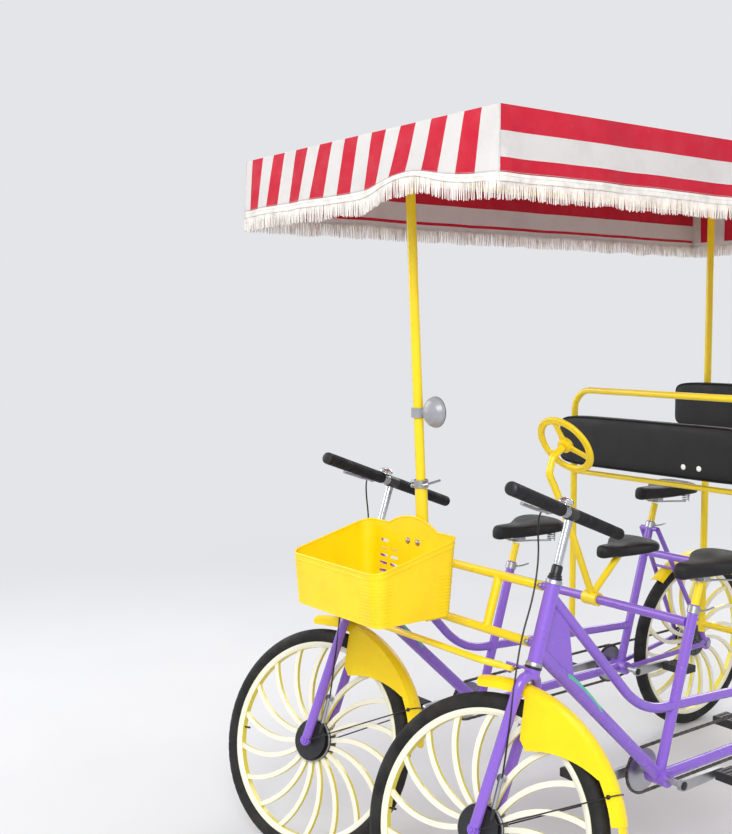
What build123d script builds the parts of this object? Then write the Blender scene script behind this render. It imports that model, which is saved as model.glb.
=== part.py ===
from build123d import *
from math import asin, atan2, cos, degrees, pi, radians, sin, sqrt, tan
import os

os.makedirs("parts", exist_ok=True)

# Four-seat side-by-side pedal vehicle. Millimetres, +Z up, front towards -Y, its left towards +X.

# Main layout: y is counted from the front hubs' line before the box is centred
half_track = 370.0
wheel_radius = 330.0
tyre_radius = 22.0
front_crank_y = 690.0
row_pitch = 700.0
crank_z = 300.0
rear_hub_y = 1810.0
mid_x = 18.750
mid_y = -996.746

# Steering heads: raked axes, parked turned right against the stop
rake = 18.5
park_turn = 72.0
fork_offset = 30.0
crown_clearance = 85.0
axle_to_crown = wheel_radius + crown_clearance
axis_foot_y = 66.0
head_length = 222.0
head_radius = 19.0
steerer_radius = 14.3
running_gap = 0.05
race_gap = 1.0
crown_height = 30.0
blade_radius = 14.0
blade_spread = 52.0
stem_height = 395.0
stem_radius = 11.0
bar_half = 350.0
bar_radius = 11.0
foam_radius = 17.0
axle_radius = 5.0

# Tie rod: its arms stand ahead of the crowns, and it bows forward to pass them
arm_length = 65.0
arm_level = -12.0
arm_thick = 6.0
tie_bow = 54.0
tie_run = 45.0
tie_radius = 9.0
pin_radius = 5.0

# Frame tubes
down_radius = 18.0
top_radius = 14.0
bottom_radius = 16.0
seat_radius = 15.0
stay_radius = 9.0
shell_radius = 23.0
shell_half = 34.0
spindle_radius = 9.0
seat_lean = 17.2
front_seat_top = 765.0
rear_seat_top = 825.0
top_tube_low = 450.0
top_tube_bend_y = 610.0
top_tube_bend_z = 500.0
top_tube_bend = 260.0
dropout_x = 70.0
dropout_radius = 24.0
dropout_thick = 6.0
stay_top_z = 800.0
stay_top_x = 37.0
bridge_radius = 5.0
cross_z = 715.0
cross_radius = 14.0

# Wheels
tyre_seat = 40.0
rim_outer = wheel_radius - tyre_seat
rim_depth = 16.0
rim_half = 15.0
spoke_count = 18
spoke_width = 14.0
spoke_half = 6.0
spoke_sweep = 14.0
spoke_bulge = 0.13
hub_radius = 60.0
hub_half = 21.0
hub_boss = 18.0
hub_boss_half = 24.0
sprocket_radius = 34.0
sprocket_x = -48.5
chain_half = 2.5
chain_depth = 8.0
chain_gap = 0.6

# Fenders
fender_gap = 22.0
front_fender_gap = 42.0
fender_radius = wheel_radius + fender_gap
front_fender_radius = wheel_radius + front_fender_gap
fender_half = 30.0
fender_drop = 14.0
skirt_front_drop = 28.0
skirt_edge_drop = 31.0
skirt_deep_drop = 32.0
skirt_low_drop = 128.0
skirt_point_drop = 144.0
skirt_rise_drop = 88.0
fender_skin = 2.5
fit_gap = 0.3

# Ladder, pole, basket
upper_bar_s = 200.0
lower_bar_s = 55.0
ladder_radius = 12.0
post_x = 177.0
lug_reach = 14.0
pole_radius = 13.0
pole_foot_y = 147.0
pole_foot_z = 790.0
pole_lean = 2.84
socket_radius = 17.0
socket_top_z = 1137.0
basket_width = 404.0
basket_front_y = -178.0
basket_back_y = 108.0
basket_floor_z = 815.0
basket_front_z = 948.0
basket_back_z = 1015.0
basket_arch = 28.0
basket_taper = 20.0
basket_wall = 3.0
slot_length = 34.0
slot_height = 8.0
slot_pitch = 21.0

# Canopy
canopy_half = 530.0
canopy_front_y = -90.0
canopy_back_y = 1975.0
canopy_top_z = 2036.0
flap_depth = 165.0
cloth = 5.0
hoop_radius = 9.0
rear_pole_inset = 85.0
rear_pole_x = half_track - rear_pole_inset
rear_beam_z = 420.0
rear_beam_radius = 12.0
rear_brace_z = 1080.0

# Seats and backrests
saddle_length = 255.0
saddle_width = 205.0
saddle_height = 75.0
front_saddle_z = 905.0
rear_saddle_z = 970.0
post_radius = 12.0
rail_y = 1130.0
rail_top_z = 1335.0
rail_radius = 11.0
rail_bend = 70.0
rail_brace_z = 1050.0
panel_over = 25.0
panel_half = half_track + panel_over
panel_thick = 45.0
panel_height = 170.0
front_panel_z = 1165.0
rear_panel_z = 1260.0

# Child seat and toy steering wheel on the centre line
child_foot_y = 812.0
child_saddle_y = 948.0
child_saddle_z = 885.0
child_saddle_length = 200.0
child_saddle_width = 190.0
child_saddle_height = 55.0
column_radius = 11.0
toy_hub_y = 690.0
toy_hub_z = 1200.0
toy_tilt = 32.0
toy_inner = 78.0
toy_outer = 101.0
toy_half = 7.0
toy_shaft = 6.0

# Cranks
crank_length = 165.0
crank_x = 80.0
crank_thick = 12.0
ring_radius = 62.0
ring_thick = 3.0
sync_x = -58.5
pedal_length = 95.0
pedal_width = 70.0
pedal_height = 24.0

sides = (("left", 1), ("right", -1))


def at(x, y, z):
    """A point of the vehicle, moved so that the box is centred on the origin."""
    return Vector(x + mid_x, y + mid_y, z)


# Steering geometry worked out from the sizes above
lean = degrees(asin(sin(radians(park_turn)) * sin(radians(rake))))
front_hub_z = (wheel_radius - tyre_radius) * cos(radians(lean)) + tyre_radius
crown_z = (front_hub_z + axle_to_crown * cos(radians(rake))
           - fork_offset * cos(radians(park_turn)) * sin(radians(rake)))
crown_y = axis_foot_y + (crown_z - wheel_radius) * tan(radians(rake))
steer_axis = Vector(0, sin(radians(rake)), cos(radians(rake)))


def steer_plane(side, turn=park_turn):
    """Steering head's frame: origin at the crown race, x to its left, y back, z up the axis."""
    left = Vector(cos(radians(turn)), -sin(radians(turn)) * cos(radians(rake)),
                  sin(radians(turn)) * sin(radians(rake)))
    return Plane(origin=at(side * half_track, crown_y, crown_z), x_dir=left, z_dir=steer_axis)


def head_point(s):
    """Vehicle y and z of the point at distance s up the steering axis."""
    return crown_y + s * sin(radians(rake)), crown_z + s * cos(radians(rake))


def seat_point(crank_y, z):
    """Vehicle y of a seat tube's axis at height z."""
    return crank_y + (z - crank_z) * tan(radians(seat_lean))


def save(piece, label):
    """Label one finished piece and write it."""
    piece.part.label = label
    export_step(piece.part, f"parts/{label}.step")


def tube(points, radius, bend=None):
    """Sweep a round bar along points, with one bend radius or a list of them."""
    with BuildLine() as path:
        if bend is None:
            Polyline(*points)
        else:
            FilletPolyline(*points, radius=bend)
    with BuildSketch(Plane(origin=path.line @ 0, z_dir=path.line % 0)) as end_face:
        Circle(radius)
    sweep(end_face.sketch, path=path.line)


def rod(start, end, radius, mode=Mode.ADD):
    """A straight round bar from start to end."""
    run = end - start
    with BuildSketch(Plane(origin=start, z_dir=run)) as end_face:
        Circle(radius)
    extrude(end_face.sketch, amount=run.length, mode=mode)


def section_plane(disc, angle=0.0):
    """The plane through the axle at an angle up from the back: x outwards, y along the axle."""
    outwards = disc.x_dir * cos(radians(angle)) + disc.y_dir * sin(radians(angle))
    return Plane(origin=disc.origin, x_dir=outwards,
                 z_dir=disc.x_dir * sin(radians(angle)) - disc.y_dir * cos(radians(angle)))


def front_disc(side):
    """The steered wheel's own plane where it is parked: x back, y up the fork, z along the axle."""
    head = steer_plane(side)
    hub = head.from_local_coords(Vector(0, -fork_offset, -axle_to_crown))
    return Plane(origin=hub, x_dir=head.y_dir, z_dir=head.x_dir)


def rear_disc(side):
    """The rear wheel's own plane: x back, y up, z along the axle."""
    return Plane(origin=at(side * half_track, rear_hub_y, wheel_radius), x_dir=(0, 1, 0), z_dir=(1, 0, 0))


def polar(radius, angle):
    """A point of a wheel's plane."""
    return radius * cos(radians(angle)), radius * sin(radians(angle))


def fender_dome(disc, radius, start, sweep):
    """A domed band over the tyre, from one angle through a sweep."""
    edge = radius - fender_drop
    with BuildSketch(section_plane(disc, start)) as profile:
        with BuildLine():
            ThreePointArc((edge, -fender_half), (radius, 0), (edge, fender_half))
            Line((edge, fender_half), (edge, fender_half - fender_skin))
            ThreePointArc((edge, fender_half - fender_skin), (radius - fender_skin, 0),
                          (edge, fender_skin - fender_half))
            Line((edge, fender_skin - fender_half), (edge, -fender_half))
        make_face()
    revolve(profile.sketch, axis=Axis(disc.origin, disc.z_dir), revolution_arc=sweep)


def fender_skirts(disc, outer, angles, edge):
    """Side skirts under a fender's edges: outer radius, its two end angles, and the lower edge.

    The lower edge is radius and angle pairs from the front: the front edge's foot, the corner
    behind it, and the middle and the end of the long arc towards the tail.
    """
    tail, front = angles
    foot, corner, middle, end = (polar(*spot) for spot in edge)
    for hand in (-1, 1):
        low = fender_half - fender_skin if hand > 0 else -fender_half
        with BuildSketch(disc.offset(low)) as skirt:
            with BuildLine():
                ThreePointArc(polar(outer, tail), polar(outer, (tail + front) / 2), polar(outer, front))
                Polyline(polar(outer, front), foot, corner)
                ThreePointArc(corner, middle, end)
                Line(end, polar(outer, tail))
            make_face()
        extrude(skirt.sketch, amount=fender_skin)


def stay_point(t):
    """Vehicle x offset, y and z on a seat stay, t of the way up from the rear hub."""
    top_y = seat_point(front_crank_y + row_pitch, stay_top_z)
    return (dropout_x + (stay_top_x - dropout_x) * t, rear_hub_y + (top_y - rear_hub_y) * t,
            wheel_radius + (stay_top_z - wheel_radius) * t)


stay_length = sqrt((seat_point(front_crank_y + row_pitch, stay_top_z) - rear_hub_y) ** 2
                   + (stay_top_z - wheel_radius) ** 2)
bridge_t = (fender_radius + bridge_radius + fit_gap) / stay_length
hoop_z = canopy_top_z - cloth - hoop_radius - fit_gap
rear_pole_y = stay_point((rear_beam_z - wheel_radius) / (stay_top_z - wheel_radius))[1]

# Frames: two step-through frames, mirror images but for their place
for name, side in sides:
    x = side * half_track
    head = steer_plane(side, 0.0)
    rear_crank_y = front_crank_y + row_pitch
    with BuildPart() as frame:
        # Head tube and the two main tubes behind it
        rod(head.from_local_coords(Vector(0, 0, race_gap)),
            head.from_local_coords(Vector(0, 0, head_length)), head_radius)
        down_y, down_z = head_point(40.0)
        rod(at(x, down_y, down_z), at(x, front_crank_y, crank_z), down_radius)
        high_y, high_z = head_point(head_length - 40.0)
        tube([at(x, high_y, high_z), at(x, top_tube_bend_y, top_tube_bend_z),
              at(x, seat_point(rear_crank_y, top_tube_low), top_tube_low)], top_radius, top_tube_bend)
        # Gusset plate between the tubes
        with BuildSketch(Plane(origin=at(x - 4.0, 0, 0), x_dir=(0, 1, 0), z_dir=(1, 0, 0))):
            with BuildLine():
                Polyline((down_y, down_z), (down_y + 135.0, down_z - 124.0),
                         (high_y + 62.0, high_z - 65.0), (high_y, high_z), close=True)
            make_face()
        extrude(amount=8.0)
        # Bottom tube, seat tubes and crank shells
        rod(at(x, front_crank_y, crank_z), at(x, rear_crank_y, crank_z), bottom_radius)
        for crank_y, top_z in ((front_crank_y, front_seat_top), (rear_crank_y, rear_seat_top)):
            rod(at(x, crank_y, crank_z), at(x, seat_point(crank_y, top_z), top_z), seat_radius)
            rod(at(x - shell_half, crank_y, crank_z), at(x + shell_half, crank_y, crank_z), shell_radius)
        # Stays and dropouts on both sides of the rear wheel
        for hand in (-1, 1):
            drop = at(x + hand * dropout_x, rear_hub_y, wheel_radius)
            for start in (at(x + hand * (shell_half - stay_radius), rear_crank_y, crank_z),
                          at(x + hand * stay_top_x, seat_point(rear_crank_y, stay_top_z), stay_top_z)):
                rod(start, drop + (start - drop).normalized() * (dropout_radius - 3), stay_radius)
            rod(drop - Vector(dropout_thick / 2, 0, 0), drop + Vector(dropout_thick / 2, 0, 0),
                dropout_radius)
        # Bridges between the stays: one through the seat tube, one over the fender
        rod(at(x - stay_top_x, seat_point(rear_crank_y, stay_top_z), stay_top_z),
            at(x + stay_top_x, seat_point(rear_crank_y, stay_top_z), stay_top_z), stay_radius)
        bridge_x, bridge_y, bridge_z = stay_point(bridge_t)
        rod(at(x - bridge_x, bridge_y, bridge_z), at(x + bridge_x, bridge_y, bridge_z), bridge_radius)
        # Lugs for the ladder on the inner side of the head tube
        for s in (upper_bar_s, lower_bar_s):
            lug_y, lug_z = head_point(s)
            rod(at(x, lug_y, lug_z), at(x - side * (head_radius + lug_reach), lug_y, lug_z), 10.0)
        # Bores for steerer, crank spindles and rear axle
        rod(head.from_local_coords(Vector(0, 0, -60)), head.from_local_coords(Vector(0, 0, head_length + 60)),
            steerer_radius + running_gap, Mode.SUBTRACT)
        for crank_y in (front_crank_y, rear_crank_y):
            rod(at(x - 90, crank_y, crank_z), at(x + 90, crank_y, crank_z),
                spindle_radius + running_gap, Mode.SUBTRACT)
        for hand in (-1, 1):
            drop = at(x + hand * dropout_x, rear_hub_y, wheel_radius)
            rod(drop - Vector(12, 0, 0), drop + Vector(12, 0, 0), axle_radius, Mode.SUBTRACT)
    save(frame, f"frame_{name}")

# Rear axles with their nuts
with BuildPart() as rear_axles:
    for name, side in sides:
        hub = at(side * half_track, rear_hub_y, wheel_radius)
        reach = dropout_x + dropout_thick / 2
        rod(hub - Vector(reach + 10, 0, 0), hub + Vector(reach + 10, 0, 0), axle_radius)
        for hand in (-1, 1):
            rod(hub + Vector(hand * reach, 0, 0), hub + Vector(hand * (reach + 7), 0, 0), 11.0)
save(rear_axles, "rear_axles")

# Cross tubes between the seat tubes of the two frames
with BuildPart() as cross_tubes:
    for crank_y in (front_crank_y, front_crank_y + row_pitch):
        y = seat_point(crank_y, cross_z)
        rod(at(-half_track + seat_radius, y, cross_z), at(half_track - seat_radius, y, cross_z), cross_radius)
    for crank_y in (front_crank_y, front_crank_y + row_pitch):
        for side in (-1, 1):
            foot = at(side * half_track, crank_y, crank_z)
            top = at(side * half_track, seat_point(crank_y, front_seat_top), front_seat_top)
            rod(foot, top, seat_radius, Mode.SUBTRACT)
save(cross_tubes, "seat_cross_tubes")

# Front ladder between the head tubes, with a socket for the pole at its middle
with BuildPart() as ladder:
    upper_y, upper_z = head_point(upper_bar_s)
    lower_y, lower_z = head_point(lower_bar_s)
    inner = half_track - head_radius - lug_reach
    for y, z in ((upper_y, upper_z), (lower_y, lower_z)):
        rod(at(-inner, y, z), at(inner, y, z), ladder_radius)
    for side in (-1, 1):
        rod(at(side * post_x, lower_y, lower_z), at(side * post_x, upper_y, upper_z), ladder_radius)
save(ladder, "ladder")

pole_step = tan(radians(pole_lean))


def pole_point(z):
    """A point of the front pole's axis at height z."""
    return at(0, pole_foot_y - (z - pole_foot_z) * pole_step, z)


with BuildPart() as pole_socket:
    rod(pole_point(pole_foot_z - 25), pole_point(socket_top_z), socket_radius)
    for y, z in ((upper_y, upper_z), (lower_y, lower_z)):
        rod(pole_point(z), at(0, y, z), 10.0)
    rod(pole_point(basket_floor_z - 8.3) - Vector(0, 230, 0), pole_point(basket_floor_z - 8.3), 8.0)
    rod(pole_point(pole_foot_z), pole_point(socket_top_z + 20), pole_radius + 0.2, Mode.SUBTRACT)
    for y, z in ((upper_y, upper_z), (lower_y, lower_z)):
        rod(at(-50, y, z), at(50, y, z), ladder_radius, Mode.SUBTRACT)
save(pole_socket, "pole_socket")

# Front pole
with BuildPart() as front_pole:
    rod(pole_point(pole_foot_z), pole_point(hoop_z - hoop_radius - 1.2), pole_radius)
save(front_pole, "front_pole")

# Basket: a tapered tray with a sloping rim, an arched back and rows of slots
basket_mid_y = (basket_front_y + basket_back_y) / 2
basket_length = basket_back_y - basket_front_y
rim_slope = atan2(basket_back_z - basket_front_z, basket_length)
basket_peak_z = basket_back_z + basket_arch + 30
with BuildPart() as basket:
    basket_height = basket_peak_z - basket_floor_z
    for inset, depth, mode in ((0.0, basket_height, Mode.ADD),
                               (basket_wall, basket_height - basket_wall, Mode.SUBTRACT)):
        with BuildSketch(Plane(origin=at(0, basket_mid_y, basket_peak_z), x_dir=(1, 0, 0), z_dir=(0, 0, -1))):
            RectangleRounded(basket_width - 2 * inset, basket_length - 2 * inset, 46 - inset)
        extrude(amount=depth, taper=degrees(atan2(basket_taper, basket_height)), mode=mode)
    # Everything above the rim line goes; the back wall keeps an arch
    with BuildSketch(Plane(origin=at(-basket_width, 0, 0), x_dir=(0, 1, 0), z_dir=(1, 0, 0))):
        with BuildLine():
            Polyline((basket_front_y - 20, basket_front_z - 20 * tan(rim_slope)),
                     (basket_back_y - 14, basket_back_z), (basket_back_y - 14, basket_peak_z + 20),
                     (basket_front_y - 20, basket_peak_z + 20), close=True)
        make_face()
    extrude(amount=2 * basket_width, mode=Mode.SUBTRACT)
    with BuildSketch(Plane(origin=at(0, basket_back_y + 40, 0), x_dir=(1, 0, 0), z_dir=(0, -1, 0))) as arch:
        with BuildLine():
            half = basket_width / 2 + 20
            Polyline((-half, basket_back_z), (-basket_width / 4, basket_back_z))
            ThreePointArc((-basket_width / 4, basket_back_z), (0, basket_back_z + basket_arch),
                          (basket_width / 4, basket_back_z))
            Polyline((basket_width / 4, basket_back_z), (half, basket_back_z), (half, basket_peak_z + 20),
                     (-half, basket_peak_z + 20), (-half, basket_back_z))
        make_face()
    extrude(amount=80, mode=Mode.SUBTRACT)
    # Columns of slots through the back wall: x, height of the lowest, and how many
    for x, low, count in ((118.0, 858.0, 6), (72.0, 858.0, 5), (-72.0, 858.0, 5), (-118.0, 858.0, 6)):
        for row in range(count):
            with Locations(at(x, basket_back_y - 8, low + row * slot_pitch)):
                Box(slot_length, 40, slot_height, mode=Mode.SUBTRACT)
save(basket, "basket")

# Steering assemblies, one on each head, built in the parked head's frame
for name, side in sides:
    head = steer_plane(side)
    hub = head.from_local_coords(Vector(0, -fork_offset, -axle_to_crown))

    def place(x, y, z):
        return head.from_local_coords(Vector(x, y, z))

    with BuildPart() as fork:
        rod(place(0, 0, -crown_height), place(0, 0, head_length + 14), steerer_radius)
        rod(place(0, 0, -crown_height), place(0, 0, -0.5), head_radius + 1)
        for hand in (-1, 1):
            tube([place(0, 0, -crown_height + 12), place(hand * blade_spread * 0.92, -3, -crown_height - 8),
                  place(hand * blade_spread, -fork_offset * 0.96, -axle_to_crown + 8)], blade_radius, 30.0)
            tip = place(hand * blade_spread, -fork_offset, -axle_to_crown)
            rod(tip - head.x_dir * 5, tip + head.x_dir * 5, 16.0)
        # Steering arm ahead of the crown, with the tie rod's pin below it
        with BuildSketch(Plane(origin=place(0, 0, arm_level), x_dir=head.x_dir, z_dir=steer_axis)):
            with BuildLine():
                Polyline((-12, 0), (12, 0), (9, -arm_length), (-9, -arm_length), close=True)
            make_face()
            with Locations((0, -arm_length)):
                Circle(10)
        extrude(amount=arm_thick)
        rod(place(0, -arm_length, arm_level + 0.5), place(0, -arm_length, arm_level - 20), pin_radius)
        rod(place(0, -arm_length, arm_level - 16), place(0, -arm_length, arm_level - 20), 9.0)
        # Axle through the hub, with its nuts outside the blades
        reach = blade_spread + 5
        rod(hub - head.x_dir * (reach + 12), hub + head.x_dir * (reach + 12), axle_radius)
        for hand in (-1, 1):
            rod(hub + head.x_dir * hand * reach, hub + head.x_dir * hand * (reach + 8), 11.0)
    save(fork, f"fork_{name}")

    # Handlebar: stem in the steerer, straight bar across its top
    with BuildPart() as handlebar:
        rod(place(0, 0, head_length + 14), place(0, 0, stem_height), stem_radius)
        rod(place(-24, 0, stem_height), place(24, 0, stem_height), bar_radius + 6)
        rod(place(-bar_half, 0, stem_height), place(bar_half, 0, stem_height), bar_radius)
    save(handlebar, f"handlebar_{name}")

    with BuildPart() as foam:
        for hand, start in ((-1, 25), (1, 60)):
            rod(place(hand * start, 0, stem_height), place(hand * (bar_half - 6), 0, stem_height), foam_radius)
            rod(place(hand * (start - 1), 0, stem_height), place(hand * (bar_half + 1), 0, stem_height),
                bar_radius, Mode.SUBTRACT)
    save(foam, f"bar_foam_{name}")

    # Brake lever on the bar and the drum brake's arm at the hub
    with BuildPart() as brake:
        rod(place(26, 0, stem_height), place(56, 0, stem_height), bar_radius + 5)
        rod(place(24, 0, stem_height), place(58, 0, stem_height), bar_radius, Mode.SUBTRACT)
        rod(place(44, -14, stem_height - 2), place(44, -44, stem_height - 12), 7.0)
        tube([place(44, -40, stem_height - 11), place(90, -52, stem_height - 14),
              place(190, -44, stem_height - 16)], 5.0, 30.0)
        # Drum plate and its collar on the axle, with the arm standing on the plate
        rod(place(hub_half + 5, -fork_offset, -axle_to_crown), place(hub_half + 10, -fork_offset, -axle_to_crown),
            hub_radius - 6)
        rod(place(hub_half + 5, -fork_offset, -axle_to_crown), place(blade_spread - 5.3, -fork_offset,
            -axle_to_crown), axle_radius + 2.4)
        rod(place(hub_half + 12, 0, -axle_to_crown + 30), place(hub_half + 12, 0, -axle_to_crown + 135), 6.0)
        rod(place(hub_half + 2, 0, -axle_to_crown + 135), place(hub_half + 14, 0, -axle_to_crown + 135), 11.0)
        rod(place(0, -fork_offset, -axle_to_crown), place(blade_spread, -fork_offset, -axle_to_crown),
            axle_radius + running_gap, Mode.SUBTRACT)
    save(brake, f"brake_{name}")

    # Fender: a domed band with a deep skirt on both sides behind the fork
    disc = front_disc(side)
    with BuildPart() as fender:
        fender_dome(disc, front_fender_radius, 20.0, 86.0)
        outer = front_fender_radius - fender_drop + 1
        thin = ((skirt_front_drop, 106.0), (skirt_edge_drop, 103.0), (skirt_edge_drop, 60.0),
                (skirt_front_drop, 20.0))
        deep = ((skirt_low_drop, 77.5), (skirt_point_drop, 71.0), (skirt_rise_drop, 54.5), (skirt_deep_drop, 38.0))
        fender_skirts(disc, outer, (20.0, 106.0), [(front_fender_radius - drop, a) for drop, a in thin])
        fender_skirts(disc, outer, (38.0, 84.0), [(front_fender_radius - drop, a) for drop, a in deep])
        rod(place(0, -12, -crown_height - 5.0), place(0, -12, front_fender_radius - axle_to_crown - 1.5), 8.0)
    save(fender, f"fender_front_{name}")

# Tie rod between the two steering arms, bowed forward
ahead = Vector(0, -cos(radians(rake)), sin(radians(rake)))
with BuildPart() as tie_rod:
    eyes = [steer_plane(side).from_local_coords(Vector(0, -arm_length, arm_level - 8)) for side in (1, -1)]
    inward = Vector(tie_run, 0, 0)
    tube([eyes[0], eyes[0] - inward + ahead * tie_bow, eyes[1] + inward + ahead * tie_bow, eyes[1]],
         tie_radius, 35.0)
    for eye in eyes:
        rod(eye - steer_axis * 7, eye + steer_axis * 7, 14.0)
    for eye in eyes:
        rod(eye - steer_axis * 20, eye + steer_axis * 20, pin_radius + running_gap, Mode.SUBTRACT)
        rod(eye + steer_axis * 7, eye + steer_axis * 20, 20.0, Mode.SUBTRACT)
        rod(eye - steer_axis * 20, eye - steer_axis * 7, 20.0, Mode.SUBTRACT)
save(tie_rod, "tie_rod")


def make_wheel(label, disc, driven):
    """A cast wheel: rim, swirled spokes and drum hub, with a sprocket on a driven one."""
    # One curved spoke, from which the ring is made below
    start = Vector(*polar(hub_radius - 6, spoke_sweep))
    end = Vector(*polar(rim_outer - rim_depth + 4, 0))
    chord = end - start
    bulge = (start + end) * 0.5 + Vector(-chord.Y, chord.X) * spoke_bulge
    with BuildSketch() as arm:
        with BuildLine():
            ThreePointArc(start, bulge, end)
        trace(line_width=spoke_width)
    with BuildPart() as wheel:
        with BuildSketch(section_plane(disc)):
            with BuildLine():
                Polyline((rim_outer, -rim_half), (rim_outer, rim_half), (rim_outer - 8, rim_half),
                         (rim_outer - rim_depth, rim_half - 5), (rim_outer - rim_depth, 5 - rim_half),
                         (rim_outer - 8, -rim_half), close=True)
            make_face()
        revolve(axis=Axis(disc.origin, disc.z_dir))
        with BuildSketch(disc.offset(-spoke_half)):
            with PolarLocations(0, spoke_count):
                add(arm.sketch)
        extrude(amount=2 * spoke_half)
        for radius, half in ((hub_radius, hub_half), (hub_boss, hub_boss_half)):
            with BuildSketch(disc.offset(-half)):
                Circle(radius)
            extrude(amount=2 * half)
        if driven:
            with BuildSketch(disc.offset(sprocket_x - ring_thick / 2)):
                Circle(sprocket_radius)
            extrude(amount=ring_thick)
            with BuildSketch(disc.offset(sprocket_x)):
                Circle(hub_boss + 4)
            extrude(amount=-sprocket_x)
        with BuildSketch(disc.offset(-90)):
            Circle(axle_radius + running_gap)
        extrude(amount=180, mode=Mode.SUBTRACT)
    save(wheel, label)


def make_tyre(label, disc):
    """A round tyre seated on the rim."""
    with BuildPart() as tyre:
        # The section's corners stand on the tyre's circle, two of them where the leaning wheel meets the ground
        with BuildSketch(section_plane(disc)):
            half = sqrt(tyre_radius ** 2 - (rim_outer - wheel_radius + tyre_radius) ** 2)
            middle = wheel_radius - tyre_radius
            with BuildLine():
                Polyline((rim_outer, -half),
                         *[(middle + tyre_radius * cos(radians(a)), tyre_radius * sin(radians(a)))
                           for a in (-92.0, -54.0, -lean, 0.0, lean, 54.0, 92.0)],
                         (rim_outer, half), close=True)
            make_face()
        revolve(axis=Axis(disc.origin, disc.z_dir))
    save(tyre, label)


for name, side in sides:
    make_wheel(f"wheel_front_{name}", front_disc(side), False)
    make_tyre(f"tyre_front_{name}", front_disc(side))
    make_wheel(f"wheel_rear_{name}", rear_disc(side), True)
    make_tyre(f"tyre_rear_{name}", rear_disc(side))

# Rear fenders, seated under the bridges of the stays
with BuildPart() as rear_fenders:
    for name, side in sides:
        disc = rear_disc(side)
        fender_dome(disc, fender_radius, -5.0, 135.0)
save(rear_fenders, "fenders_rear")

# Chains: one loop from crank to crank, one from the rear crank to the hub
front_axle = (front_crank_y + mid_y, crank_z)
back_axle = (front_crank_y + row_pitch + mid_y, crank_z)
hub_axle = (rear_hub_y + mid_y, wheel_radius)
with BuildPart() as chains:
    for name, side in sides:
        for start, end, start_radius, end_radius, x in (
                (front_axle, back_axle, ring_radius, ring_radius, sync_x),
                (back_axle, hub_axle, ring_radius, sprocket_radius, sprocket_x)):
            plane = Plane(origin=(side * half_track + mid_x + x - chain_half, 0, 0), x_dir=(0, 1, 0),
                          z_dir=(1, 0, 0))
            with BuildSketch(plane):
                with Locations(start):
                    Circle(start_radius + chain_gap + chain_depth)
                with Locations(end):
                    Circle(end_radius + chain_gap + chain_depth)
                make_hull()
                offset(amount=-chain_depth, mode=Mode.SUBTRACT)
            extrude(amount=2 * chain_half)
save(chains, "chains")

# Cranks with their rings and pedals
for row, crank_y, rings in (("front", front_crank_y, (sync_x,)),
                            ("rear", front_crank_y + row_pitch, (sync_x, sprocket_x))):
    for name, side in sides:
        centre = at(side * half_track, crank_y, crank_z)
        with BuildPart() as crank:
            reach = Vector(crank_x + crank_thick / 2, 0, 0)
            rod(centre - reach, centre + reach, spindle_radius)
            for x in rings:
                rod(centre + Vector(x - ring_thick / 2, 0, 0), centre + Vector(x + ring_thick / 2, 0, 0),
                    ring_radius)
            for hand in (-1, 1):
                plane = Plane(origin=centre + Vector(hand * crank_x - crank_thick / 2, 0, 0),
                              x_dir=(0, hand, 0), z_dir=(1, 0, 0))
                with BuildSketch(plane):
                    Circle(16)
                    with Locations((crank_length, 0)):
                        Circle(12)
                    make_hull()
                extrude(amount=crank_thick)
                pin = centre + Vector(hand * crank_x, hand * crank_length, 0)
                rod(pin, pin + Vector(hand * (pedal_length + 12), 0, 0), 6.0)
                with Locations(pin + Vector(hand * (pedal_length / 2 + 12), 0, 0)):
                    Box(pedal_length, pedal_width, pedal_height)
        save(crank, f"crank_{row}_{name}")

# Canopy frame: roof hoop, cross bars and the two rear poles on their beam
with BuildPart() as canopy_frame:
    edge_x = canopy_half - cloth - hoop_radius - fit_gap
    front_y = canopy_front_y + cloth + hoop_radius + fit_gap
    back_y = canopy_back_y - cloth - hoop_radius - fit_gap
    for side in (-1, 1):
        rod(at(side * edge_x, front_y - hoop_radius, hoop_z), at(side * edge_x, back_y + hoop_radius, hoop_z),
            hoop_radius)
    pole_top = pole_point(hoop_z) - at(0, 0, 0)
    for y in (front_y, pole_top.Y, rear_pole_y, back_y):
        rod(at(-edge_x, y, hoop_z), at(edge_x, y, hoop_z), hoop_radius - 1)
    beam_half = half_track - stay_point((rear_beam_z - wheel_radius) / (stay_top_z - wheel_radius))[0]
    rod(at(-beam_half, rear_pole_y, rear_beam_z), at(beam_half, rear_pole_y, rear_beam_z), rear_beam_radius)
    for side in (-1, 1):
        rod(at(side * rear_pole_x, rear_pole_y, rear_beam_z - 30), at(side * rear_pole_x, rear_pole_y, hoop_z),
            pole_radius)
    rod(at(-rear_pole_x, rear_pole_y, rear_brace_z), at(rear_pole_x, rear_pole_y, rear_brace_z), 9.0)
    # The beam's ends are cut to the seat stays that it is fixed to
    top_x, top_y, top_z = stay_point(1.0)
    for side in (-1, 1):
        rod(at(side * (half_track - dropout_x), rear_hub_y, wheel_radius),
            at(side * (half_track - top_x), top_y, top_z), stay_radius + fit_gap, Mode.SUBTRACT)
save(canopy_frame, "canopy_frame")

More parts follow.
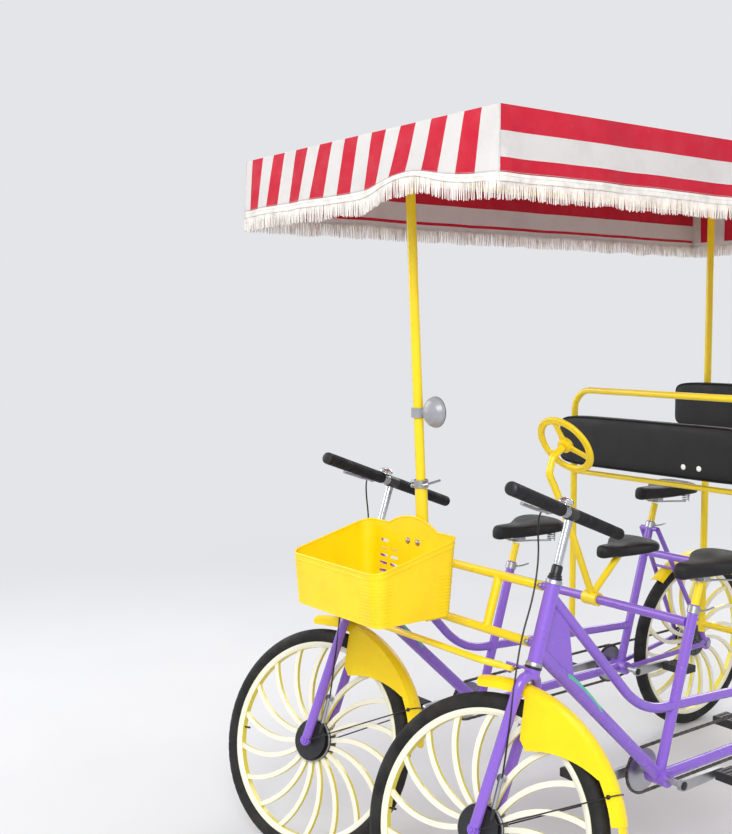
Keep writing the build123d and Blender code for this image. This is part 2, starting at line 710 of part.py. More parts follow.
# Canopy cloth: a flat roof with hanging flaps on four sides
with BuildPart() as canopy:
    canopy_mid_y = (canopy_front_y + canopy_back_y) / 2
    canopy_length = canopy_back_y - canopy_front_y
    with BuildSketch(Plane(origin=at(0, canopy_mid_y, canopy_top_z - flap_depth))):
        Rectangle(2 * canopy_half, canopy_length)
        Rectangle(2 * (canopy_half - cloth), canopy_length - 2 * cloth, mode=Mode.SUBTRACT)
    extrude(amount=flap_depth)
    with BuildSketch(Plane(origin=at(0, canopy_mid_y, canopy_top_z - cloth))):
        Rectangle(2 * canopy_half, canopy_length)
    extrude(amount=cloth)
save(canopy, "canopy")

# Hand rail hoop behind the front row
with BuildPart() as hand_rail:
    rail_foot_z = top_tube_bend_z - (top_tube_bend_z - top_tube_low) * (
        (rail_y - top_tube_bend_y) / (seat_point(front_crank_y + row_pitch, top_tube_low) - top_tube_bend_y))
    rail_foot_z += top_radius + 1.0
    tube([at(half_track, rail_y, rail_foot_z), at(half_track, rail_y, rail_top_z),
          at(-half_track, rail_y, rail_top_z), at(-half_track, rail_y, rail_foot_z)], rail_radius, rail_bend)
    rod(at(-half_track, rail_y, rail_brace_z), at(half_track, rail_y, rail_brace_z), 9.0)
save(hand_rail, "hand_rail")

# Padded backrests, one for each row
for label, back_y, mid_z in (("backrest_front", rail_y - rail_radius - fit_gap, front_panel_z),
                             ("backrest_rear", rear_pole_y - pole_radius - fit_gap, rear_panel_z)):
    with BuildPart() as backrest:
        with Locations(at(0, back_y - panel_thick / 2, mid_z)):
            Box(2 * panel_half, panel_thick, panel_height)
        fillet(backrest.edges().filter_by(Axis.Y), 35)
        fillet(backrest.faces().sort_by(Axis.Y)[0].edges(), 16)
    save(backrest, label)


def saddle_shape(place, length, width, height):
    """A wide saddle with a short nose, its top at the place given."""
    tail = width * 0.24
    nose = width * 0.15
    with BuildSketch(Plane(origin=place - Vector(0, 0, height), x_dir=(1, 0, 0))) as outline:
        for x in (tail - width / 2, width / 2 - tail):
            with Locations((x, length / 2 - tail)):
                Circle(tail)
        with Locations((0, nose - length / 2)):
            Circle(nose)
        make_hull()
    extrude(outline.sketch, amount=height)


# Saddles of both rows and the child's saddle, on their posts
saddle_places = [(side * half_track, seat_point(crank_y, top_z - saddle_height) + 25, top_z,
                  saddle_length, saddle_width, saddle_height)
                 for crank_y, top_z in ((front_crank_y, front_saddle_z),
                                        (front_crank_y + row_pitch, rear_saddle_z)) for side in (1, -1)]
saddle_places.append((0, child_saddle_y, child_saddle_z, child_saddle_length, child_saddle_width,
                      child_saddle_height))
with BuildPart() as saddles:
    for x, y, z, length, width, height in saddle_places:
        saddle_shape(at(x, y, z), length, width, height)
    chamfer(saddles.faces().filter_by(Axis.Z).group_by(Axis.Z)[-1].edges(), 2)
save(saddles, "saddles")

with BuildPart() as seat_posts:
    for crank_y, tube_top, saddle_z in ((front_crank_y, front_seat_top, front_saddle_z),
                                        (front_crank_y + row_pitch, rear_seat_top, rear_saddle_z)):
        for name, side in sides:
            x = side * half_track
            top_z = saddle_z - saddle_height - post_radius * sin(radians(seat_lean)) - fit_gap
            foot = at(x, seat_point(crank_y, tube_top), tube_top)
            top = at(x, seat_point(crank_y, top_z), top_z)
            rod(foot, top, post_radius)
save(seat_posts, "seat_posts")

# Child seat frame on the front cross tube: a V of two legs, the front one a gooseneck
toy_axis = Vector(0, cos(radians(toy_tilt)), sin(radians(toy_tilt)))
toy_hub = at(0, toy_hub_y, toy_hub_z)
cross_y = seat_point(front_crank_y, cross_z)
with BuildPart() as child_frame:
    foot = at(0, cross_y, cross_z)
    rod(foot - Vector(28, 0, 0), foot + Vector(28, 0, 0), cross_radius + 7)
    neck = toy_hub - toy_axis * 62
    tube([foot + Vector(0, -3, 14), at(0, 724, 927), at(0, 655, 1062), at(0, 622, 1118), neck,
          toy_hub - toy_axis * 14], column_radius, [120, 120, 24, 24])
    saddle_foot_z = child_saddle_z - child_saddle_height - fit_gap
    rod(foot + Vector(0, 3, 14), at(0, child_saddle_y, saddle_foot_z + 12), column_radius)
    with Locations(at(0, child_saddle_y, saddle_foot_z + 40)):
        Box(80, 150, 80, mode=Mode.SUBTRACT)
    rod(toy_hub - toy_axis * 20, toy_hub + toy_axis * 16, toy_shaft)
    rod(toy_hub + toy_axis * 13, toy_hub + toy_axis * 18, toy_shaft + 4)
    rod(foot - Vector(60, 0, 0), foot + Vector(60, 0, 0), cross_radius, Mode.SUBTRACT)
save(child_frame, "child_seat_frame")

# Toy steering wheel: rim, hub and three spokes
with BuildPart() as toy_wheel:
    disc = Plane(origin=toy_hub, x_dir=(1, 0, 0), z_dir=toy_axis)
    with BuildSketch(section_plane(disc)):
        with BuildLine():
            Polyline((toy_inner, -3), (toy_inner + 5, -toy_half), (toy_outer - 5, -toy_half), (toy_outer, -2),
                     (toy_outer, 2), (toy_outer - 5, toy_half), (toy_inner + 5, toy_half), (toy_inner, 3),
                     close=True)
        make_face()
    revolve(axis=Axis(disc.origin, disc.z_dir))
    rod(toy_hub - toy_axis * 12, toy_hub + toy_axis * 12, 22.0)
    for angle in (90, 210, 330):
        across = disc.x_dir * cos(radians(angle)) + disc.y_dir * sin(radians(angle))
        rod(toy_hub + across * 12, toy_hub + across * (toy_inner + 8), 5.5)
    rod(toy_hub - toy_axis * 30, toy_hub + toy_axis * 30, toy_shaft + running_gap, Mode.SUBTRACT)
save(toy_wheel, "toy_wheel")

# Round mirror on the front pole, its shell facing forward
with BuildPart() as mirror:
    collar = pole_point(1325.0)
    rod(collar - Vector(0, 0, 13), collar + Vector(0, 0, 13), 19.0)
    back = collar + Vector(58, 6, 4)
    rod(collar, back, 7.0)
    dish = Plane(origin=back, x_dir=(1, 0, 0), z_dir=(0, 1, 0))
    with BuildSketch(section_plane(dish)):
        with BuildLine():
            Polyline((0, -25), (16, -23), (30, -15), (39, -4), (42, 5), (0, 5), close=True)
        make_face()
    revolve(axis=Axis(dish.origin, dish.z_dir))
    rod(pole_point(1200.0), pole_point(1450.0), pole_radius, Mode.SUBTRACT)
save(mirror, "mirror")
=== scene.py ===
"""Looks of a side-by-side pedal quadricycle with a striped canopy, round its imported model."""

import logging
import random
from dataclasses import dataclass
from enum import Enum
from functools import cached_property
from math import (acos, asin, atan2, copysign, cos, degrees, dist, exp, hypot, pi, radians, sin,
                  sqrt, tan)
from typing import Callable, NamedTuple, Sequence

import bmesh
import bpy
from mathutils import Matrix, Vector, noise


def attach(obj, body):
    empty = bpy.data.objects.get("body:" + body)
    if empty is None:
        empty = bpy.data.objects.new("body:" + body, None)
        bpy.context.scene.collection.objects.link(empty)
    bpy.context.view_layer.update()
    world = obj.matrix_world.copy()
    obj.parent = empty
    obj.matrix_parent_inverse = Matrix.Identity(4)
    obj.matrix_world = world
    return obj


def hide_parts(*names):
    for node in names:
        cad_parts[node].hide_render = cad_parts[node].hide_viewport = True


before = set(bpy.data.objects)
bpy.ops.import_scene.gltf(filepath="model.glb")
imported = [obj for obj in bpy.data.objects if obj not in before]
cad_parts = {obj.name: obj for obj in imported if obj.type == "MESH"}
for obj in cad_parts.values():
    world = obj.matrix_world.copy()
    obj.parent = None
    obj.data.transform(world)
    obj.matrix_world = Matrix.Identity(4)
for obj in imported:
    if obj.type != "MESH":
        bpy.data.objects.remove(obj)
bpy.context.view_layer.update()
LOG = logging.getLogger("quadricycle")
MM = 0.001
TINY = 1e-6
ACROSS, BACK, UP = Vector((1, 0, 0)), Vector((0, 1, 0)), Vector((0, 0, 1))
BLACK_PAINT = "#17171A"
# Half the roof's width, and how far down a flap its hem starts, in metres
ROOF_HALF = 0.53
HEM = 0.1465
Tree, Node, Socket = bpy.types.NodeTree, bpy.types.Node, bpy.types.NodeSocket
Pair = tuple[float, float]
Triple = tuple[float, float, float]


def linear(hex_colour: str) -> tuple[float, float, float, float]:
    """Turn an sRGB hex colour to linear RGBA.

    Args:
        hex_colour: six hex digits, with or without a hash.

    Returns:
        Linear red, green, blue and an alpha of one.
    """
    digits = hex_colour.lstrip("#")
    parts = [int(digits[i:i + 2], 16) / 255 for i in (0, 2, 4)]
    values = [c / 12.92 if c <= 0.04045 else ((c + 0.055) / 1.055) ** 2.4 for c in parts]
    return (values[0], values[1], values[2], 1.0)


def bare(owner: bpy.types.Material | bpy.types.World) -> Tree:
    """Turn on the nodes of a material or world, and clear them.

    Args:
        owner: the material or world.

    Returns:
        Its empty node tree.
    """
    owner.use_nodes = True
    owner.node_tree.nodes.clear()
    return owner.node_tree


def add(tree: Tree, kind: str, inputs: dict | Sequence = (), **settings: object) -> Node:
    """Add one shader node with its settings and links.

    Args:
        tree: the node tree.
        kind: the node's type without its ShaderNode prefix.
        inputs: values, sockets, or nodes for their first output, by input name or in order.
        settings: the node's own attributes.

    Returns:
        The new node.
    """
    node = tree.nodes.new("ShaderNode" + kind)
    for key, value in settings.items():
        setattr(node, key, value)
    for key, value in inputs.items() if isinstance(inputs, dict) else enumerate(inputs):
        if isinstance(value, Node):
            value = value.outputs[0]
        if isinstance(value, Socket):
            tree.links.new(value, node.inputs[key])
        else:
            node.inputs[key].default_value = value
    return node


class Grain(Enum):
    """How a surface is patterned close up."""

    SMOOTH = "smooth"
    ORANGE_PEEL = "orange peel"
    PEBBLED = "pebbled"
    CELLS = "cells"
    MOULDED = "moulded"
    BRUSHED = "brushed"


@dataclass(frozen=True)
class Finish:
    """One material: what it is, its two colours, its gloss and its close-up pattern."""

    name: str
    slot: str
    colour: str
    shade: str
    roughness: float
    metallic: float = 0.0
    ior: float = 1.5
    coat: float = 0.0
    grain: Grain = Grain.SMOOTH
    size: float = 0.001
    relief: float = 0.0
    mottle: float = 0.3
    patch: float = 0.09
    rounded: float = 0.0008

    def base_colour(self, tree: Tree, place: Socket) -> Node:
        """Colour that drifts between the finish's two colours in soft patches.

        Args:
            tree: the material's node tree.
            place: the point on the object.

        Returns:
            The node with the colour.
        """
        patches = add(tree, "TexNoise", {"Vector": place, "Scale": 1 / self.patch, "Detail": 5.0,
                                         "Roughness": 0.62})
        share = add(tree, "MapRange", {"Value": patches, "From Min": 0.42, "From Max": 0.74,
                                       "To Max": self.mottle})
        return add(tree, "MixRGB", [share, linear(self.colour), linear(self.shade)])

    def height(self, tree: Tree, place: Socket) -> Node | None:
        """Close-up relief of the surface.

        Args:
            tree: the material's node tree.
            place: the point on the object.

        Returns:
            A node with a height from 0 to 1, or None for a smooth surface.
        """
        spots = {"Vector": place, "Scale": 1 / self.size}
        if self.grain is Grain.SMOOTH:
            return None
        if self.grain is Grain.PEBBLED:
            cells = add(tree, "TexVoronoi", spots, feature="DISTANCE_TO_EDGE")
            return add(tree, "MapRange", {"Value": cells, "From Max": 0.22})
        if self.grain is Grain.CELLS:
            return add(tree, "TexVoronoi", spots)
        if self.grain is Grain.BRUSHED:
            along = add(tree, "Mapping", {"Vector": place, "Scale": (1.0, 1.0, 14.0)})
            return add(tree, "TexNoise", {**spots, "Vector": along, "Detail": 3.0})
        return add(tree, "TexNoise", {**spots, "Detail": 2.0})

    def make(self) -> bpy.types.Material:
        """Make the material, with its colour, gloss and relief nodes.

        Returns:
            The new material.
        """
        material = bpy.data.materials.new(self.name)
        material.diffuse_color = linear(self.colour)
        tree = bare(material)
        place = add(tree, "TexCoord").outputs["Object"]
        smears = add(tree, "TexNoise", {"Vector": place, "Scale": 23.0, "Detail": 4.0})
        gloss = add(tree, "MapRange", {"Value": smears, "From Min": 0.3, "From Max": 0.7,
                                       "To Min": self.roughness * 0.85,
                                       "To Max": min(1.0, self.roughness * 1.25)})
        normal = add(tree, "Bevel", {"Radius": self.rounded}, samples=4)
        relief = self.height(tree, place)
        if relief is not None:
            normal = add(tree, "Bump", {"Height": relief, "Distance": self.relief,
                                        "Normal": normal})
        surface = add(tree, "BsdfPrincipled", {
            "Base Color": self.base_colour(tree, place), "Roughness": gloss,
            "Metallic": self.metallic, "IOR": self.ior, "Coat Weight": self.coat,
            "Coat Roughness": 0.08, "Normal": normal})
        add(tree, "OutputMaterial", {"Surface": surface})
        return material

    def build(self) -> bpy.types.Material:
        """The finish's one material, made when it is first asked for."""
        return bpy.data.materials.get(self.name) or self.make()


@dataclass(frozen=True)
class WheelPaint(Finish):
    """Two-tone paint of one cast wheel: pale faces, yellow flanks and a black drum at its hub."""

    centre: Triple = (0.0, 0.0, 0.0)
    axle: Triple = (1.0, 0.0, 0.0)
    flank: str = "#E6D637"
    drum_radius: float = 0.0606

    def base_colour(self, tree: Tree, place: Socket) -> Node:
        """Pale where the surface faces along the axle, yellow across it, black near the hub.

        Args:
            tree: the material's node tree.
            place: the point on the object.

        Returns:
            The node with the colour.
        """
        plain = super().base_colour(tree, place)
        normal = add(tree, "TexCoord").outputs["Normal"]
        facing = add(tree, "VectorMath", [normal, self.axle], operation="DOT_PRODUCT")
        side = add(tree, "Math", [facing.outputs["Value"]], operation="ABSOLUTE")
        share = add(tree, "MapRange", {"Value": side, "From Min": 0.45, "From Max": 0.7})
        painted = add(tree, "MixRGB", [share, linear(self.flank), plain])
        arm = add(tree, "VectorMath", [place, self.centre], operation="SUBTRACT")
        along = add(tree, "VectorMath", [arm, self.axle], operation="DOT_PRODUCT")
        slid = add(tree, "VectorMath", {0: self.axle, "Scale": along.outputs["Value"]},
                   operation="SCALE")
        across = add(tree, "VectorMath", [arm, slid], operation="SUBTRACT")
        radius = add(tree, "VectorMath", [across], operation="LENGTH")
        hub = add(tree, "Math", [radius.outputs["Value"], self.drum_radius], operation="LESS_THAN")
        return add(tree, "MixRGB", [hub, painted, linear(BLACK_PAINT)])


@dataclass(frozen=True)
class TwoTone(Finish):
    """A metal that turns black within a reach of one spot, or beyond it if outside is set."""

    centre: Triple = (0.0, 0.0, 0.0)
    axis: Triple = (0.0, 0.0, 1.0)
    reach: float = 0.1
    second_roughness: float = 0.45
    outside: bool = False

    def make(self) -> bpy.types.Material:
        """Make the material with its two surfaces mixed by the distance along the axis.

        Returns:
            The new material.
        """
        material = super().make()
        tree = material.node_tree
        place = add(tree, "TexCoord").outputs["Object"]
        arm = add(tree, "VectorMath", [place, self.centre], operation="SUBTRACT")
        along = add(tree, "VectorMath", [arm, self.axis], operation="DOT_PRODUCT")
        size = add(tree, "Math", [along.outputs["Value"]], operation="ABSOLUTE")
        share = add(tree, "Math", [size, self.reach],
                    operation="GREATER_THAN" if self.outside else "LESS_THAN")
        grime = add(tree, "TexNoise", {"Vector": place, "Scale": 31.0, "Detail": 4.0})
        tone = add(tree, "MixRGB", [grime, linear(BLACK_PAINT), linear("#2B2B2E")])
        paint = add(tree, "BsdfPrincipled", {"Base Color": tone, "IOR": 1.5,
                                             "Roughness": self.second_roughness})
        surface = next(n for n in tree.nodes if n.type == "OUTPUT_MATERIAL").inputs["Surface"]
        both = add(tree, "MixShader", [share, surface.links[0].from_socket, paint])
        tree.links.new(both.outputs["Shader"], surface)
        return material


@dataclass(frozen=True)
class StripedCloth(Finish):
    """Woven awning cloth: red and white bands with a white hem, read from the cloth's flat map."""

    white: str = "#EFEBE8"
    band: float = 0.057

    def base_colour(self, tree: Tree, place: Socket) -> Node:
        """Bands along the cloth with a pale hem and faint dirt.

        Args:
            tree: the material's node tree.
            place: the point on the object.

        Returns:
            The node with the colour.
        """
        flat = add(tree, "SeparateXYZ", {"Vector": add(tree, "TexCoord").outputs["UV"]})
        shifted = add(tree, "Math", [ROOF_HALF, flat.outputs["X"]], operation="SUBTRACT")
        count = add(tree, "Math", [shifted, 2 * self.band], operation="DIVIDE")
        turn = add(tree, "Math", [count], operation="FRACT")
        red = add(tree, "Math", [turn, 0.5], operation="GREATER_THAN")
        dust = add(tree, "TexNoise", {"Vector": place, "Scale": 9.0, "Detail": 8.0,
                                      "Roughness": 0.7})
        grey = add(tree, "MapRange", {"Value": dust, "From Min": 0.5, "From Max": 0.78,
                                      "To Max": 0.35})
        pale = add(tree, "MixRGB", [grey, linear(self.white), linear("#C9C3C0")])
        striped = add(tree, "MixRGB", [red, pale, super().base_colour(tree, place)])
        hemmed = add(tree, "Math", [flat.outputs["Y"], HEM], operation="GREATER_THAN")
        return add(tree, "MixRGB", [hemmed, striped, pale])

    def height(self, tree: Tree, place: Socket) -> Node:
        """Crossed threads of a canvas weave, drawn at 3 mm so that they show, with soft creases.

        Args:
            tree: the material's node tree.
            place: the point on the object.

        Returns:
            The node with the height.
        """
        waves = {"Vector": add(tree, "TexCoord").outputs["UV"], "Scale": 0.5 / self.size}
        warp, weft = (add(tree, "TexWave", waves, bands_direction=way) for way in "XY")
        both = add(tree, "Math", [warp.outputs["Fac"], weft.outputs["Fac"]], operation="ADD")
        crease = add(tree, "TexNoise", {"Vector": place, "Scale": 14.0, "Detail": 4.0})
        return add(tree, "Math", [crease, 3.0, both], operation="MULTIPLY_ADD")


# Enamelled steel tubes: a wet gloss with a faint orange peel
PURPLE = Finish("enamelled_steel_purple", "frame_paint", "#8A5FD0", "#7A54C4", 0.24, coat=0.6,
                grain=Grain.ORANGE_PEEL, size=0.004, relief=0.00006, mottle=0.35)
# Powder-coated tubes: a slightly softer gloss than the enamel
YELLOW = Finish("powder_coated_steel_yellow", "yellow_paint", "#FBDD12", "#F2CC10", 0.32,
                coat=0.35, grain=Grain.ORANGE_PEEL, size=0.003, relief=0.00005)
# Injection-moulded polypropylene of the basket: waxy and saturated, with a soft highlight
BASKET = Finish("moulded_polypropylene_yellow", "basket_plastic", "#FFDC05", "#FBC405", 0.38,
                ior=1.49, grain=Grain.MOULDED, size=0.005, relief=0.00012, mottle=0.5)
# The same moulding from a smoother tool: the fenders' highlight is longer and sharper
FENDER = Finish("moulded_polypropylene_fender", "fender_plastic", "#FFDF07", "#F9CA06", 0.3,
                ior=1.49, grain=Grain.MOULDED, size=0.006, relief=0.0001, mottle=0.5)
# The toy wheel's moulding, handled to an even satin
TOY = Finish("moulded_polypropylene_toy", "toy_plastic", "#FBDA12", "#F4CE10", 0.36, ior=1.49,
             grain=Grain.MOULDED, size=0.004, relief=0.00005)
# Vulcanised rubber: dull black, with patches of grey-brown road dust
RUBBER = Finish("vulcanised_rubber", "tyre", "#19191A", "#34322E", 0.7, ior=1.42,
                grain=Grain.MOULDED, size=0.002, relief=0.0002, mottle=0.6, patch=0.05)
# Closed-cell foam grips: dull, with fine cells
FOAM = Finish("closed_cell_foam", "foam", "#17171A", "#26262A", 0.66, ior=1.33,
              grain=Grain.CELLS, size=0.0035, relief=0.0004)
# Chrome plate: a bright mirror with faint smears
CHROME = Finish("chrome_plate", "chrome", "#D9DADF", "#B9BABF", 0.12, metallic=1.0, mottle=0.4)
# Zinc-plated steel: a cool grey metal whose drawn grain stretches its highlights
STEEL = Finish("zinc_plated_steel", "steel", "#B4B6BA", "#8E9094", 0.34, metallic=1.0,
               grain=Grain.BRUSHED, size=0.004, relief=0.00005)
# Cast aluminium: a paler, duller metal with the mould's faint unevenness
ALLOY = Finish("cast_aluminium", "crank_alloy", "#B9BABD", "#8C8D92", 0.38, metallic=1.0,
               grain=Grain.MOULDED, size=0.003, relief=0.0001)
# Chain steel under old oil: dark, brownish and blotched
CHAIN = Finish("oiled_chain_steel", "chain_steel", "#6B6762", "#3C352D", 0.42, metallic=1.0,
               mottle=0.7, patch=0.02)
# Vinyl stamped with a leather grain, drawn at 2 mm so that it shows: black, its sheen broken
VINYL = Finish("pebbled_vinyl_black", "vinyl", "#101012", "#1A1A1D", 0.42, ior=1.4,
               grain=Grain.PEBBLED, size=0.0022, relief=0.00025)
# The saddles' vinyl: the same stamp, a little greyer
SADDLE = Finish("pebbled_saddle_vinyl", "saddle_vinyl", "#121214", "#1E1E21", 0.42, ior=1.4,
                grain=Grain.PEBBLED, size=0.002, relief=0.00022)
# Woven awning canvas: dull, with threads and creases that soften the red
CLOTH = StripedCloth("awning_canvas_striped", "canopy_cloth", "#DE1236", "#C00F2E", 0.8,
                     size=0.003, relief=0.0006, mottle=0.5, patch=0.2, rounded=0.0002)
# Spun cotton of the fringe: hardly any gloss, off-white with grey patches
THREAD = Finish("cotton_fringe", "canopy_cloth", "#EDE8E2", "#BDB5AC", 0.9, mottle=0.7,
                patch=0.03, rounded=0.0001)
# Waxed thread of the seams: a thin grey line with a faint sheen
STITCH = Finish("waxed_thread", "canopy_cloth", "#BFBBBA", "#D6D2D0", 0.7, mottle=0.8,
                patch=0.01, rounded=0.0001)
# Lacquered ABS of the mirror's shell: smooth grey with a clear highlight
SHELL = Finish("grey_abs_shell", "mirror_shell", "#9A9DA3", "#82858B", 0.3, coat=0.3,
               grain=Grain.MOULDED, size=0.003, relief=0.0001)
# Moulded ABS of the small black trim: a harder, narrower sheen than the rubber's
BLACK = Finish("black_abs", "foam", "#151517", "#222224", 0.35, grain=Grain.MOULDED,
               size=0.002, relief=0.0001)
# Nylon of the buttons: an even off-white with a soft gloss
WHITE = Finish("white_nylon", "wheel_cast", "#F1EEE6", "#D8D3C8", 0.35)
# Ink printed under the frame's lacquer: two sea greens in patches, nearly as wet a gloss
GREEN = Finish("printed_green_stripe", "frame_paint", "#45B795", "#78C9C0", 0.3, coat=0.5,
               patch=0.06)


def axes(x: Vector, y: Vector, z: Vector) -> Matrix:
    """A turn whose columns are the three axes."""
    return Matrix((x, y, z)).transposed().to_4x4()


def shift(x: float, y: float, z: float) -> Matrix:
    """A move by millimetres."""
    return Matrix.Translation(Vector((x, y, z)) * MM)


def axis_matrix(origin: Vector, axis: Vector) -> Matrix:
    """A frame at a point with z along an axis."""
    return Matrix.Translation(origin) @ axis.to_track_quat("Z", "Y").to_matrix().to_4x4()


def circle(count: int) -> list[Pair]:
    """Cosine and sine of evenly spaced angles."""
    return [(cos(2 * pi * k / count), sin(2 * pi * k / count)) for k in range(count)]


def squared(value: float, power: float) -> float:
    """A cosine or sine with its size raised to a power, which squares off its circle."""
    return copysign(abs(value) ** power, value)


@dataclass(frozen=True)
class Layout:
    """Main sizes in millimetres, as in the solid model. mid_x and mid_y centre it on the frame."""

    mid_x: float = 18.750
    mid_y: float = -996.746
    half_track: float = 370.0
    wheel_radius: float = 330.0
    tyre_radius: float = 22.0
    rake: float = radians(18.5)
    park_turn: float = radians(72.0)
    fork_offset: float = 30.0
    axle_to_crown: float = 415.0
    axis_foot_y: float = 66.0
    head_length: float = 222.0
    stem_height: float = 395.0
    front_crank_y: float = 690.0
    row_pitch: float = 700.0
    crank_z: float = 300.0
    rear_hub_y: float = 1810.0
    seat_lean: float = radians(17.2)

    def at(self, x: float, y: float, z: float) -> Vector:
        """A point of the vehicle, from millimetres to the frame's metres."""
        return Vector((x + self.mid_x, y + self.mid_y, z)) * MM

    def seat_y(self, crank_y: float, z: float) -> float:
        """Vehicle y of a seat tube's axis at height z."""
        return crank_y + (z - self.crank_z) * tan(self.seat_lean)

    def crown(self) -> Pair:
        """Where the crown race is, with the parked front wheel leaning on the ground.

        Returns:
            Vehicle y and z in millimetres.
        """
        lean = asin(sin(self.park_turn) * sin(self.rake))
        z = ((self.wheel_radius - self.tyre_radius) * cos(lean) + self.tyre_radius
             + self.axle_to_crown * cos(self.rake)
             - self.fork_offset * cos(self.park_turn) * sin(self.rake))
        return self.axis_foot_y + (z - self.wheel_radius) * tan(self.rake), z

    def head(self, side: int, turn: float | None = None) -> Matrix:
        """The steering head's frame: x to its left, y back, z up the axis.

        Args:
            side: 1 for the vehicle's left, -1 for its right.
            turn: how far it is turned right, or None for the parked turn.

        Returns:
            A matrix from the head's metres to the frame's.
        """
        angle = self.park_turn if turn is None else turn
        left = Vector((cos(angle), -sin(angle) * cos(self.rake), sin(angle) * sin(self.rake)))
        up = Vector((0, sin(self.rake), cos(self.rake)))
        place = Matrix.Translation(self.at(side * self.half_track, *self.crown()))
        return place @ axes(left, up.cross(left), up)

    def place(self, side: int, x: float, y: float, z: float) -> Vector:
        """A point given in a parked head's frame, in millimetres."""
        return self.head(side) @ (Vector((x, y, z)) * MM)

    def wheel(self, end: str, side: int) -> Matrix:
        """A wheel's frame: x back, y up, z along the axle.

        Args:
            end: "front" or "rear".
            side: 1 for the vehicle's left, -1 for its right.

        Returns:
            A matrix from the wheel's metres to the frame's.
        """
        if end == "rear":
            hub = self.at(side * self.half_track, self.rear_hub_y, self.wheel_radius)
            return Matrix.Translation(hub) @ axes(BACK, UP, ACROSS)
        left, back, up, _ = (column.xyz for column in self.head(side).col)
        hub = self.place(side, 0, -self.fork_offset, -self.axle_to_crown)
        return Matrix.Translation(hub) @ axes(back, up, left)


LAYOUT = Layout()
SIDES = (("left", 1), ("right", -1))
ROWS = (("front", LAYOUT.front_crank_y), ("rear", LAYOUT.front_crank_y + LAYOUT.row_pitch))


def put(name: str, data: bpy.types.ID) -> bpy.types.Object:
    """Add an object to the scene.

    Args:
        name: the object's name.
        data: its mesh, curve, camera or light.

    Returns:
        The new object.
    """
    thing = bpy.data.objects.new(name, data)
    bpy.context.scene.collection.objects.link(thing)
    return thing


